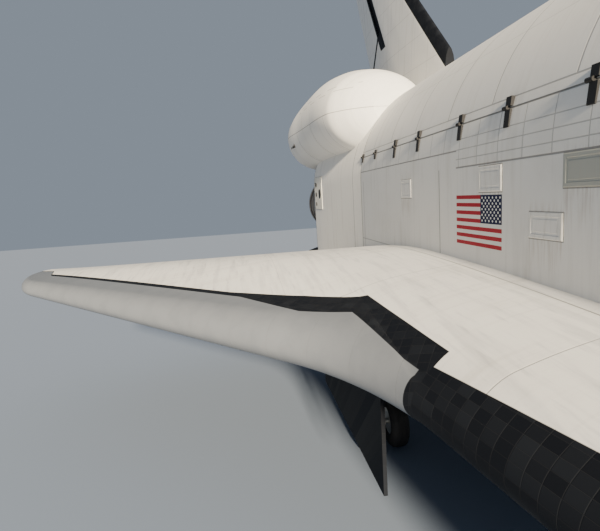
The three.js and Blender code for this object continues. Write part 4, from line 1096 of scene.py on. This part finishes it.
def pod_grid():
    """x = cx + a cos t, h = ch + b sin t, with rows close together at the blunt ends."""
    front, rear = 27.30 + np.linspace(0, 1, 24) ** 2, np.linspace(33.05, 33.48, 12)
    s = np.concatenate([front, np.linspace(28.4, 33.0, 40), rear])
    row = smooth_rows(POD, s, level_ends=False)
    row[:, 0] = s
    t = np.linspace(0, 2 * np.pi, 72, endpoint=False)
    x = row[:, 1:2] + row[:, 3:4] * np.cos(t)
    h = row[:, 2:3] + row[:, 4:5] * np.sin(t)
    return placed(np.stack([x, np.broadcast_to(row[:, :1], x.shape), h], -1)), True


def small_profile(grow=0.0):
    """Distance and radius along the small nozzle: r = 0.15 + (mouth - 0.15) * t^0.62, grown by a margin."""
    t = np.linspace(0, 1, 30)
    return np.stack([t * SMALL["length"], 0.150 + (SMALL["mouth"] - 0.150) * t**0.62 + grow], -1)


def pod(side):
    body = mesh_object(f"engine_pod_skin_{side}", [pod_grid()])
    block = mesh_object("block", [box(*POD_BLOCK)])
    carved(block, bar((3.0, 32.8, 4.35), (3.0, 34.0, 4.35), 0.46, 48, 0.42), operation="INTERSECT")
    carved(body, block, operation="UNION")
    room = np.vstack([[(-0.06, 0.24)], small_profile(0.09)])
    axis = thrust_line(SMALL["tilt"], SMALL["cant"])
    carved(body, turned(room, SMALL["place"], axis), hull_part(BAY[1], BASE + GAP, 30, GAP))
    return object_on_side(side, body)


def small_nozzle(side):
    outer = small_profile()
    inner = np.stack([np.minimum(outer[:, 0] + 0.02, SMALL["length"]), outer[:, 1] - 0.028], -1)[::-1]
    profile = np.vstack([[(-0.03, 0.02), (-0.03, 0.15)], outer, inner, [(0.04, 0.12), (0.04, 0.02)]])
    part = turned(profile, SMALL["place"], thrust_line(SMALL["tilt"], SMALL["cant"]), tube=True)
    return mesh_object(f"pod_nozzle_bell_{side}", on_side(side, part))


def pod_black(x, s, h):
    """The flat rear end."""
    return (s - POD_END).above(0.006)


def pod_joints(s, h):
    """A long seam, a stepped one above it and a few across."""
    long = near(h, 4.86, 0.014) * between(s, 27.3, 33.3)
    step = ((s - 28.1) / 0.9).fract() < 0.5
    upper = near(h - step * 0.12, 5.46, 0.012) * between(s, 27.6, 31.5)
    ribs = greatest(near(s, 29.9, 0.014), near(s, 31.7, 0.014), near(s, 28.5, 0.012) * 0.7)
    top_rib = near(s, 30.6, 0.012) * between(h, 5.5, 7.0)
    return greatest(long * 0.9, upper * 0.8, ribs * between(h, 3.2, 4.86), top_rib)


def engine_finish(name, place, tilt, cant):
    """Steel bell: fine tubes along it, straw and brown heat tints towards the throat."""
    finish = Finish(name)
    offsets = [value - float(start) for value, start in zip(finish.level(), place)]
    along, a, b = (sum(value * float(part) for value, part in zip(offsets, direction))
                   for direction in basis(thrust_line(tilt, cant)))
    cloud = finish.noise(2.4, 6)
    tubes = lines(a.maths("ARCTAN2", b), 2 * math.pi / 240, 0.008)
    tone = finish.mix(cloud.ramp(0.4, 0.75) * 0.6, (0.40, 0.37, 0.34), (0.20, 0.18, 0.17))
    tone = finish.mix((1.9 - along).ramp(0.0, 0.8) * 0.5, tone, (0.30, 0.20, 0.12))
    normal = finish.bump(tubes, 0.004, 0.6)
    return finish.set(base_color=tone, roughness=0.34 + cloud * 0.25, metallic=0.9, normal=normal)


pod_skin = plain_white("pod_finish", pod_black, seams=pod_joints)
for side, sign in SIDES.items():
    place = (sign * SMALL["place"][0], *SMALL["place"][1:])
    nozzle_metal = engine_finish(f"small_nozzle_{side}", place, SMALL["tilt"], sign * SMALL["cant"])
    finished(pod(side), pod_skin, f"engine_pod_{side}")
    finished(small_nozzle(side), nozzle_metal, f"pod_nozzle_{side}")
# Short mouths that look out of each pod's rear flank, x and s
MOUTHS = ((3.745, 32.45), (3.76, 32.68), (3.775, 32.91))
mouths = [bar((3.60, s, 4.50), (x, s, 4.50), 0.085, 28) for x, s in MOUTHS]
finished(mesh_object("pod_side_thrusters", mouths + mirror(mouths)), dark_metal, [])

# %% [markdown]
# The fin is a thin wedge-shaped section that shrinks towards its tip. Its rear edge stops short of the split
# rudder, and a black tube fills the gap between them.

# %% Fin
# s of the front edge at the root, then heights and chords of the root and the tip
FIN = dict(front=26.467, root=5.537, tip=13.564, root_chord=6.823, tip_chord=2.755)
RUDDER = (8.35, 13.2)  # heights of its ends at the hinge line
SHARE = 0.6  # of the chord ahead of the hinge line
# Shares of the chord and of the half thickness, from the front edge to the hinge line
FIN_OUTLINE = np.array([[0, 0], [0.006, 0.16], [0.03, 0.34], [0.09, 0.5], [0.3, 0.8], [0.5, 1], [0.6, 1]])
FIN_TAIL = 0.014  # half thickness of the thin rear edge
# Height and share of the thickness, for the rings up to the rounded tip
FIN_RINGS = [(5.3, 1), (6.5, 1), (8.0, 1), (9.5, 1), (11.5, 1), (13.504, 1), (13.544, 0.86), (13.564, 0.55)]
CHORD_FALL = (FIN["tip_chord"] - FIN["root_chord"]) / (FIN["tip"] - FIN["root"])  # per metre of height
LEAN = math.atan(1 + SHARE * CHORD_FALL)  # of the hinge line
NOSE_IN, NOSE_OUT, CHEEK = 0.86, 0.97, 0.9  # of the rudder, as shares of the fin's half thickness
NOSE_ROOM = 1.04
DIAGONAL = 0.7071  # turns a distance along s or h into one square to a 45 degree edge
FIN_BLACK = dict(front=0.36, hinge=(-0.42, 0.13), start=7.75, foot=0.09)  # widths, and where the strip starts


def fin_chord(h):
    return FIN["root_chord"] + CHORD_FALL * (h - FIN["root"])


def fin_front(h):
    return FIN["front"] + h - FIN["root"]


def fin_hinge(h):
    return fin_front(h) + SHARE * fin_chord(h)


def fin_half(h):
    return 0.047 * fin_chord(h)


def from_hinge(h, up, back):
    """A place of the side view: up the hinge line to height h, then along it and square to it."""
    s = fin_hinge(h) + up * math.sin(LEAN) + back * math.cos(LEAN)
    return s, h + up * math.cos(LEAN) - back * math.sin(LEAN)


def fin_rings():
    """Sections of the fin: a share of the chord back, a share of the half thickness out to each side."""
    blunt = FIN_OUTLINE[1, 0] * np.linspace(0.12, 1, 5)
    t = np.concatenate([[0], blunt, [0.014, 0.03, 0.055], np.linspace(0.09, 0.6, 14)])
    out = np.interp(t, FIN_OUTLINE[:, 0], FIN_OUTLINE[:, 1])
    out[:6] = FIN_OUTLINE[1, 1] * np.sqrt(t[:6] / FIN_OUTLINE[1, 0])
    rows = []
    for h, narrow in FIN_RINGS:
        start, chord, half = fin_front(h), fin_chord(h), fin_half(h) * narrow
        right = [(w * half, start + u * chord, h) for u, w in zip(t, out)] + [(FIN_TAIL, start + chord, h)]
        rows.append(right + [(-x, s, z) for x, s, z in right[:0:-1]])
    return placed(rows), True


def fin():
    """The whole section with room for the rudder and the top engine, cut off at the doors and the roof."""
    ends = [(RUDDER[0], -0.02), (RUDDER[1], 0.02)]
    room = [from_hinge(h, up, -NOSE_ROOM * fin_half(h)) for h, up in ends]
    room += [from_hinge(h, up, 4.0) for h, up in reversed(ends)]
    engine_room = [(31.9, 5.477), (34.6, 7.718), (36.5, 7.718), (36.5, 5.0), (31.9, 5.0)]
    wide = (-0.6, 0.6)
    rooms = [prism(outline, wide, "sh") for outline in (room, engine_room)]
    doors = box(wide, (25.0, BAY[1] + 0.04), (5, 8))
    roof = box(wide, (BAY[1], BASE + 1.5), (4.8, FIN["root"] + GAP))
    return carved(mesh_object("fin_skin", [fin_rings()]), *rooms, doors, roof)


def rudder_half(side):
    """A hollow-nosed wedge from the hinge line to the thin tail, one half of the split rudder."""
    rows = []
    rear_slope = 1 + CHORD_FALL
    for h in np.linspace(*RUDDER, 8):
        half = fin_half(h)
        tail = (1 - SHARE) * fin_chord(h) / (math.cos(LEAN) + rear_slope * math.sin(LEAN))
        a = np.linspace(1.52, 0.02, 12)
        inner = np.stack([np.maximum(0.003, NOSE_IN * half * np.cos(a)), NOSE_IN * half * np.sin(a)], -1)
        outer = half * np.array([(NOSE_OUT, 0.05), (0.965, 0.3), (0.94, 0.6), (CHEEK, 0.8)])
        t = np.linspace(0.1, 1, 10)[:, None]
        rest = outer[-1] * (1 - t) + np.array([FIN_TAIL + 0.003, tail]) * t
        ring = np.vstack([inner, outer, rest, [(0.003, tail)]])
        rows.append([(x, *from_hinge(h, 0, back)) for x, back in ring])
    return mesh_object(f"rudder_panel_{side}", on_side(side, (placed(rows), True)))


def fin_black(x, s, h):
    """The fin's leading edge, the strip beside the rudder's hinge line and the one under the rudder."""
    front = (FIN_BLACK["front"] - (s - fin_front(h)) * DIAGONAL).above(0.006)
    hinge = s - fin_hinge(h)
    rear = between(hinge, *FIN_BLACK["hinge"], 0.006) * (h - FIN_BLACK["start"]).above(0.006)
    up = (s - fin_hinge(RUDDER[0])) * math.sin(LEAN) + (h - RUDDER[0]) * math.cos(LEAN)
    foot = between(up, -FIN_BLACK["foot"], FIN_BLACK["foot"], 0.006) * (hinge > 0.0)
    return greatest(front, rear, foot)


fin_finish = plain_white("fin_finish", fin_black)
finished(fin(), fin_finish, "fin")
for side in SIDES:
    finished(rudder_half(side), fin_finish, f"rudder_half_{side}", f"rudder_half_{side}")

# %% [markdown]
# The wing is a surface of two numbers: half-span and place behind the leading edge. The edge sweeps back
# steeply along the glove, bends, and runs on at 45 degrees to the rounded tip.

# %% Wing shape
ROOT, TIP = 2.667, 11.896  # half-spans
WING_LINE = 15.265  # s of the 45 degree line where it would cross the middle
GLOVE_START, GLOVE_SLOPE = 7.0, 6.314  # s of the glove's line at the root, and its metres aft per metre out
BEND = (4.5, 4.775, 5.7)  # half-spans of the bend's start, corner and end
TRAIL, TRAIL_SLOPE = 32.773, 0.1773  # the trailing edge is at s = TRAIL - TRAIL_SLOPE * x
HINGE_S = 29.261  # of the elevons
DIHEDRAL = 0.0611  # rise of the underside per metre out
NOSE_ROOT, NOSE_TIP = 0.35, 0.16  # radii of the elevons' noses


def leading_edge(x):
    """s of the edge: the glove's line, a quadratic bend, the 45 degree line and the rounded tip."""
    x = np.asarray(x, float)
    glove = GLOVE_START + (x - ROOT) * GLOVE_SLOPE
    u = np.clip((x - TIP + 0.62) / 0.62, 0, 1)
    straight = WING_LINE + x + 0.9 * (1 - np.sqrt(np.maximum(0, 1 - u**2.4)))
    a, b = BEND[0] - 2 * BEND[1] + BEND[2], 2 * (BEND[1] - BEND[0])
    t = (-b + np.sqrt(np.maximum(0, b * b - 4 * a * (BEND[0] - x)))) / (2 * a)
    start = GLOVE_START + (BEND[0] - ROOT) * GLOVE_SLOPE
    bend = (1 - t) ** 2 * start + 2 * t * (1 - t) * (WING_LINE + BEND[1]) + t * t * (WING_LINE + BEND[2])
    return np.where(x <= BEND[0], glove, np.where(x >= BEND[2], straight, bend))


def edge_thickness(x):
    """Thickness of the grey edge, which thins from the bend to the tip."""
    return np.where(x < BEND[1], 0.76, 0.76 - 0.40 * (x - BEND[1]) / (TIP - BEND[1]))


def elevon_nose(x):
    """Radius of the elevon's round nose."""
    return NOSE_ROOT + (NOSE_TIP - NOSE_ROOT) * (x - ROOT) / (TIP - ROOT)


def elevon_axis(x):
    """Height of the elevon's hinge axis."""
    return NOSE_ROOT + (DIHEDRAL + (NOSE_TIP - NOSE_ROOT) / (TIP - ROOT)) * (x - ROOT)


def thickness(x, s):
    """Full thickness: from the edge's to the crest's on a smooth step, then down to the elevon's nose."""
    edge, thin = leading_edge(x), edge_thickness(x)
    chord = TRAIL - WING_LINE - (1 + TRAIL_SLOPE) * x
    crest = WING_LINE + x + 0.36 * chord
    most = np.maximum(0.1 * chord, thin)
    u = np.clip((s - edge) / (crest - edge), 0, 1)
    front = thin + (most - thin) * (u * u * (3 - 2 * u)) ** 0.9
    back = np.clip((s - crest) / (HINGE_S - crest), 0, 1)
    return np.where(s < crest, front, most + (2 * elevon_nose(x) - most) * back**1.6)


def rounding(x):
    """How far behind the edge its rounding reaches."""
    sweep = (leading_edge(x + 0.005) - leading_edge(x - 0.005)) / 0.01
    wanted = 0.62 * edge_thickness(x) * np.minimum(6.4, np.sqrt(1 + sweep**2))
    return np.minimum(wanted, 0.4 * (HINGE_S - leading_edge(x)))


COVE_UP, COVE_DOWN = 0.733, 0.471  # how far the rear lips reach round the elevon's nose
COVE_POINTS = 18
WELL_BOX = ((2.76, 4.40), (20.35, 24.35), (-0.2, 0.9))  # x, s and h limits of the wheel well


def wing_rings(x, shrink):
    """Rings round the wing, one per half-span: from the edge over the top, round the cove and back below."""
    x, shrink = np.asarray(x, float)[:, None], np.asarray(shrink, float)[:, None]
    edge, bottom, depth = leading_edge(x), DIHEDRAL * (x - ROOT), rounding(x)
    radius, nose = elevon_nose(x) + RUNNING, 0.42 * edge_thickness(x)
    ahead = np.linspace(0, 1, 17)[None, 1:] ** 2
    behind = np.linspace(0, 1, 44)[None, 1:]
    rows = []
    for upper, lip in ((True, COVE_UP), (False, COVE_DOWN)):
        start, end = edge + depth, HINGE_S - radius * math.sin(lip)
        s = np.concatenate([edge + ahead * depth, start + behind * (end - start)], 1)
        share = np.sqrt(1 - (1 - np.clip((s - edge) / depth, 0, 1)) ** 2)
        full = thickness(x, s)
        h = bottom + nose + (full - nose if upper else -nose) * share
        h = bottom + full * 0.45 + (h - bottom - full * 0.45) * shrink
        rows.append(np.stack([np.broadcast_to(x, s.shape), s, h], -1))
    a = np.linspace(np.pi / 2 + COVE_UP, 1.5 * np.pi - COVE_DOWN, COVE_POINTS)[None, :]
    cove_h = elevon_axis(x) + shrink * radius * np.sin(a)
    cove = np.stack([np.broadcast_to(x, cove_h.shape), HINGE_S + radius * np.cos(a), cove_h], -1)
    tip = np.stack([x, edge, bottom + nose], -1)
    return np.concatenate([tip, rows[0], cove, rows[1][:, ::-1]], 1)


def wing_spans():
    """Half-spans of the rings, closest at the bend, and how much of its thickness each keeps."""
    inner, bend = np.linspace(2.4, 4.45, 20), np.linspace(4.5, 5.7, 36)
    x = np.concatenate([inner, bend, np.linspace(5.9, 11.2, 26), np.linspace(11.28, 11.78, 14)])
    return np.append(x, [TIP - 0.04, TIP - 0.012, TIP]), np.append(np.ones(len(x)), [0.72, 0.5, 0.25])


def wing(side):
    body = mesh_object(f"wing_skin_{side}", [(placed(wing_rings(*wing_spans())), True)])
    carved(body, hull_part(4.0, BASE + GAP, 120, GAP), box(*WELL_BOX))
    return object_on_side(side, body)


# %% [markdown]
# The wing's colours follow its edge. A dark strip of tiles runs along the glove and widens at a notch into
# the band above the grey carbon edge. The limits are distances behind the 45 degree line or the glove's line.

# %% Wing finish
NOTCH = 19.0  # where the black tiles of the glove widen into the band behind the grey edge
KINK = 5.37  # half-span where the band's front line turns
BAND_FRONT, BAND_REAR = 0.651, 1.39  # behind the 45 degree line, near the turn
TIP_BAND = 10.95  # half-span where the grey of the tip starts to widen
LEAST_BAND = 0.07
STRIP = (0.203, 0.40)  # least and greatest width of the glove's dark strip


def band_limits(out):
    """How far behind the 45 degree line the band starts and ends at a half-span."""
    front = (KINK - out).most(0.0) * 0.185 + (out - KINK).most(0.0).least(0.82) * 0.42 + BAND_FRONT
    front = front + (out - TIP_BAND).ramp(0.0, 0.35) * 0.62
    rear = BAND_REAR - (out - 5.17).most(0.0).least(1.2) * 0.17
    return front, rear.most(front + LEAST_BAND)


def smeared(finish, x, s, h, tone):
    """The white with grey smears drawn out from front to rear."""
    flow = finish.noise(1.0, 5, finish.vector(x * 7.0, s * 0.55, h))
    stain = finish.noise(1.0, 4, finish.vector(x * 16.0, s * 1.8, h))
    smear = (flow.ramp(0.46, 0.70) * 0.34 + stain.ramp(0.54, 0.76) * 0.34).limited()
    return finish.mix(smear, tone, (0.40, 0.40, 0.42))


def carbon_edge(finish, along):
    """Colour, roughness and height of the grey edge, with the joints of its panels."""
    tone = finish.mix(finish.noise(3.0, 4).ramp(0.4, 0.7) * 0.4, (0.175, 0.19, 0.215), (0.14, 0.155, 0.18))
    panels = lines(along, 1.04, 0.006)
    return finish.mix(panels * 0.2, tone, (0.10, 0.10, 0.11)), 0.38, panels * -0.3


def wing_finish(name):
    finish = Finish(name)
    x, s, h = finish.level()
    out = abs(x)
    behind = s - out - WING_LINE
    glove_edge = ROOT + (s - GLOVE_START) / GLOVE_SLOPE
    joints = lines(s - 18.28, 3.1, 0.009) * 0.7, near(out, 2.87, 0.012), lines(out - 5.47, 2.6, 0.008) * 0.3
    tone, rough, height = white_parts(finish, x, s, h, greatest(*joints))
    white = (smeared(finish, x, s, h, tone), rough, height)
    rear = (s - NOTCH).above(0.006)
    along = s * (1 - rear) + (out + s) * DIAGONAL * rear
    across = (glove_edge - out) * (1 - rear) + behind * DIAGONAL * rear + h
    black = tile_parts(finish, along, across)
    under = ((out - ROOT) * DIHEDRAL + 0.12 - h).above(0.004)
    band_front, band_rear = band_limits(out)
    outboard = (out - 4.2 - (s - NOTCH) * 0.096).above(0.004)
    band = (band_rear - behind).above(0.006) * outboard * (s - NOTCH + 0.02).above(0.006)
    width = ((NOTCH - s) * 0.04 + STRIP[0]).most(STRIP[0]).least(STRIP[1])
    strip = (out - glove_edge + width).above(0.004) * (1 - rear)
    past_turn = (out - ROOT - (s - 0.84 - GLOVE_START) / GLOVE_SLOPE).above(0.004)
    grey = (band_front - behind).above(0.006) * past_turn * (s - NOTCH - 0.13).above(0.006)
    tiled = layered(finish, greatest(under, band, strip).limited(), white, black)
    return skin_shader(finish, *layered(finish, grey, tiled, carbon_edge(finish, out + s)))


wing_skin = wing_finish("wing_skin")
for side in SIDES:
    finished(wing(side), wing_skin, [f"wing_{side}", f"wing_edge_panels_{side}"])

# %% [markdown]
# The elevons are wedges with a round nose. Their sections stand square to the hinge line, which climbs a
# little with the wing.

# %% Elevons and body flap
SPLIT = 7.94  # half-span between the inner and the outer elevon
HINGE_TILT = math.atan((float(elevon_axis(TIP)) - float(elevon_axis(ROOT))) / (TIP - ROOT))
TAIL_HALF = 0.016  # half thickness of the tail


def elevon(name, start, end, side):
    """Sections with a half-round nose on the hinge line and a straight top and underside that meet aft."""
    rows = []
    for x in np.linspace(start, end, 12):
        r = float(elevon_nose(x))
        tail = TRAIL - TRAIL_SLOPE * x - HINGE_S
        drop = -0.58 * r
        nose = arc(r, np.pi / 2, 1.5 * np.pi, 25, 0)
        under = np.linspace((0, -r), (tail, drop - TAIL_HALF), 8)[1:]
        over = np.linspace((tail, drop + TAIL_HALF), (0, r), 8)[:-1]
        s, h = np.vstack([nose, under, over]).T
        along = (x - ROOT) / math.cos(HINGE_TILT)
        across = ROOT + along * math.cos(HINGE_TILT) - h * math.sin(HINGE_TILT)
        up = NOSE_ROOT + along * math.sin(HINGE_TILT) + h * math.cos(HINGE_TILT)
        rows.append(np.stack([across, HINGE_S + s, up], -1))
    return mesh_object(f"{name}_skin_{side}", on_side(side, (placed(rows), True)))


def beside_fuselage(side):
    """The room that the inner elevon leaves for the fuselage, which widens towards the base."""
    places = (HINGE_S - 0.5, BASE - 0.04)
    front, rear = ((float(smooth_rows(HULL, [s])[0, 4]) + 0.06, s) for s in places)
    outline = [(1.0, front[1]), front, rear, (rear[0], BASE + 0.5), (1.0, BASE + 0.5)]
    return on_side(side, prism(outline, (-2.0, 3.0), "xs"))


def elevon_black(x, s, h):
    """The underside, from half the nose's radius below the hinge axis down."""
    return (elevon_axis(x) - elevon_nose(x) * 0.5 - h).above(0.004)


def body_flap():
    s, h, r, half = FLAP["s"], FLAP["h"], FLAP["radius"], FLAP["half"]
    nose = arc(r, np.pi / 2, 1.5 * np.pi, 33, 0) + (s, h)
    tail = s + FLAP["length"]
    ring = np.vstack([nose, [(tail, h - r + 0.09), (tail, h - r + 0.13)]])
    return mesh_object("body_flap_skin", [prism(ring, (-half, half), "sh")])


elevon_finish = plain_white("elevon_finish", elevon_black, (0.6, 9.0))
for side in SIDES:
    inner = carved(elevon("elevon_inner", ROOT + 0.1, SPLIT - 0.012, side), *beside_fuselage(side))
    outer = elevon("elevon_outer", SPLIT + 0.012, TIP - 0.13, side)
    finished(inner, elevon_finish, f"elevon_inner_{side}", f"elevon_inner_{side}")
    finished(outer, elevon_finish, f"elevon_outer_{side}", f"elevon_outer_{side}")
finished(body_flap(), black_tiles, "body_flap", "body_flap")

# %% [markdown]
# Each main engine is a bell of over a thousand cooling tubes, with bands round it and a round heat shield at
# its throat. A bell's radius is a power of the distance from the throat.

# %% Main engines
THROAT_AT, LENGTH = 1.197, 2.88  # from the gimbal to the throat, and from the throat to the mouth
THROAT, MOUTH = 0.131, 1.150  # radii
WALL_THICK = 0.044
BANDS = (0.16, 0.27, 0.38, 0.49, 0.60, 0.71, 0.81, 0.90)  # as shares of the bell's length
BAND_SECTION = [(-0.03, -0.02), (-0.02, 0.035), (0.02, 0.04), (0.03, -0.01)]


def bell_radius(d):
    """r = throat + (mouth - throat) * (d / length)^0.58."""
    return THROAT + (MOUTH - THROAT) * np.maximum(0, d / LENGTH) ** 0.58


def main_engine(name, place, dome, rim, tilt, cant):
    """The bell with its bands and rounded rim, and the heat shield, a thin dome round the throat."""
    d = LENGTH * np.linspace(0, 1, 48) ** 1.5
    outer = np.stack([THROAT_AT + d, bell_radius(d) + WALL_THICK], -1)
    inner = np.stack([THROAT_AT + d, bell_radius(d)], -1)[::-1]
    head = THROAT_AT - 0.06
    bell = np.vstack([[(head, 0.01), (head, 0.19)], outer, inner, [(THROAT_AT, 0.01)]])
    start, end = math.acos(min(1, THROAT_AT / dome)) * 0.35, math.asin(rim / dome) + GIMBAL + 0.03
    shield = np.vstack([arc(dome - 0.06, start, end, 24, 0), arc(dome, end, start, 24, 0)])
    profiles = [bell, shield]
    for share in BANDS:
        at = THROAT_AT + share * LENGTH
        r = float(bell_radius(share * LENGTH)) + WALL_THICK
        profiles.append(np.add((at, r), BAND_SECTION))
    t = np.linspace(0, 2 * np.pi, 14, endpoint=False)
    ring = (THROAT_AT + LENGTH - 0.05, MOUTH + WALL_THICK + 0.01)
    profiles.append(ring + 0.045 * np.stack([np.cos(t), np.sin(t)], -1))
    parts = [turned(profile, place, thrust_line(tilt, cant), 96, tube=True) for profile in profiles]
    return mesh_object(f"main_engine_{name}_bell", parts)


for name, engine in ENGINES.items():
    bell_metal = engine_finish(f"engine_{name}", engine["place"], engine["tilt"], engine["cant"])
    body = f"main_engine_{name}"
    finished(main_engine(name, **engine), bell_metal, body, body)

# %% [markdown]
# A tyre is a rounded section turned round the axle, with a few grooves; a rim is a dished disc with bolts.

# %% Wheels
AXLE = (1, 0, 0)
# Centre of a pair; radius and width of a tyre; how far each wheel stands from the centre; radius of a rim
MAIN = dict(s=23.8, x=3.455, tyre=0.565, width=0.400, spread=0.330, rim=0.275, h=-2.33506)
NOSE = dict(s=3.632, x=0.0, tyre=0.406, width=0.215, spread=0.205, rim=0.200, h=-1.29418)
GROOVES = (-0.45, -0.15, 0.15, 0.45)  # as shares of the tread's half width
BOLTS = 10
BOLT_RING = 0.47  # as a share of the rim's radius


def tyre(name, gear, x):
    """A tyre turned round its axle, with shallow grooves in its tread and rounded shoulders."""
    u = np.linspace(-1, 1, 61)
    rim, depth, w = gear["rim"], gear["tyre"] - gear["rim"], gear["width"] / 2
    crown = gear["tyre"] * 0.985 - depth * 0.62 * np.abs(u) ** 5.0
    groove = sum(np.exp(-(((u - c) / 0.02) ** 2)) for c in GROOVES) * 0.010
    side = np.array([(0.985 * w, rim + depth * 0.30), (0.86 * w, rim + 0.02), (0.72 * w, rim + 0.002)])
    profile = np.vstack([side[::-1] * (-1, 1), np.stack([u * w, crown - groove], -1), side])
    return mesh_object(name, [turned(profile, (gear["x"] + x, gear["s"], gear["h"]), AXLE, 96, tube=True)])


def rim_parts(gear):
    """Two dished discs, their bolts and the axle between them."""
    half, r, spread = gear["width"] * 0.36, gear["rim"], gear["spread"]
    middle, s, h = centre = gear["x"], gear["s"], gear["h"]
    a, b, m = spread - half, spread + half, spread + half * 0.3
    hub = spread + half * 0.9
    profile = [(a, 0.01), (a, r), (b, r), (b - 0.004, r * 0.94), (b - 0.03, r * 0.80), (m + 0.01, r * 0.70),
               (m, r * 0.6), (m, r * 0.34), (m + 0.02, r * 0.27), (spread + half * 0.86, r * 0.24),
               (hub, r * 0.20), (hub, 0.01)]
    parts = [turned(np.multiply(profile, (side, 1)), centre, AXLE, tube=True) for side in (1, -1)]
    for t in 2 * np.pi * np.arange(BOLTS) / BOLTS:
        bolt = s + r * BOLT_RING * math.cos(t), h + r * BOLT_RING * math.sin(t)
        for side in (1, -1):
            head, foot = middle + side * (m + 0.022), middle + side * (m - 0.01)
            parts.append(bar((foot, *bolt), (head, *bolt), 0.014, 8))
    parts.append(bar((middle - spread, s, h), (middle + spread, s, h), r * 0.2, 32))
    return parts


nose_discs = mesh_object("nose_rim_discs", rim_parts(NOSE))
finished(nose_discs, wheel_metal, "nose_rims", "nose_wheels")
for side, sign in SIDES.items():
    nose_tyre = tyre(f"nose_tyre_tread_{side}", NOSE, sign * NOSE["spread"])
    finished(nose_tyre, rubber, f"nose_tyre_{side}", "nose_wheels")
    gear, wheels = dict(MAIN, x=sign * MAIN["x"]), f"main_wheels_{side}"
    discs = mesh_object(f"main_rim_discs_{side}", rim_parts(gear))
    finished(discs, wheel_metal, f"main_rims_{side}", wheels)
    for kind, away in (("outer", sign), ("inner", -sign)):
        tread = tyre(f"main_tyre_{kind}_tread_{side}", gear, away * MAIN["spread"])
        finished(tread, rubber, f"main_tyre_{kind}_{side}", wheels)

# %% [markdown]
# The legs, gear doors, rudder tube, hatch, glass and the cabin's fittings are plain enough in
# the frame, so they keep their shape and get only a finish.

# %% Kept nodes
KEPT = {
    "glass": (glass, ["windshield_glass", "roof_window_glass", "bay_window_glass", "hatch_glass"]),
    "cabin": (cabin_metal, ["flight_deck", "crew_seat_port", "crew_seat_starboard"]),
    "skin": (skin, ["side_hatch"]),
    "legs": (gear_metal, ["nose_leg", "nose_fork", "main_leg_port", "main_leg_starboard"]),
    "tiles": (black_tiles, ["rudder_tube", "nose_gear_door_port", "nose_gear_door_starboard",
                            "main_gear_door_port", "main_gear_door_starboard"]),
}
for material, names in KEPT.values():
    for name in names:
        nodes[name].data.materials.clear()
        nodes[name].data.materials.append(material)
print("kept:", ", ".join(f"{len(names)} {kind}" for kind, (_, names) in KEPT.items()))

# %% [markdown]
# The stage is a pale floor under an even sky, with one low, soft sun from behind the camera, as in the
# evening light of the photograph.

# %% Stage and light
FLOOR_HALF = 400
SKY = dict(colour=(0.72, 0.84, 1.0, 1), strength=0.33)
SUN = dict(energy=14.0, angle=math.radians(5), color=(1.0, 0.85, 0.62))
SUN_TURN = (math.radians(75), 0, math.radians(0.8))


def add_stage():
    corners = [(FLOOR_HALF * x, FLOOR_HALF * y, 0) for x, y in ((-1, -1), (1, -1), (1, 1), (-1, 1))]
    mesh = bpy.data.meshes.new("floor")
    mesh.from_pydata(corners, [], [(0, 1, 2, 3)])
    mesh.materials.append(Finish("floor_paint").set(base_color=(0.26, 0.32, 0.43), roughness=0.85))
    linked("floor", mesh)


def add_light():
    world = bpy.data.worlds.new("sky")
    world.use_nodes = True
    back = world.node_tree.nodes["Background"]
    back.inputs["Color"].default_value = SKY["colour"]
    back.inputs["Strength"].default_value = SKY["strength"]
    bpy.context.scene.world = world
    sun = bpy.data.lights.new("soft_sun", "SUN")
    for key, value in SUN.items():
        setattr(sun, key, value)
    linked("soft_sun", sun).rotation_euler = SUN_TURN


add_stage()
add_light()
print("floor and sun in place")
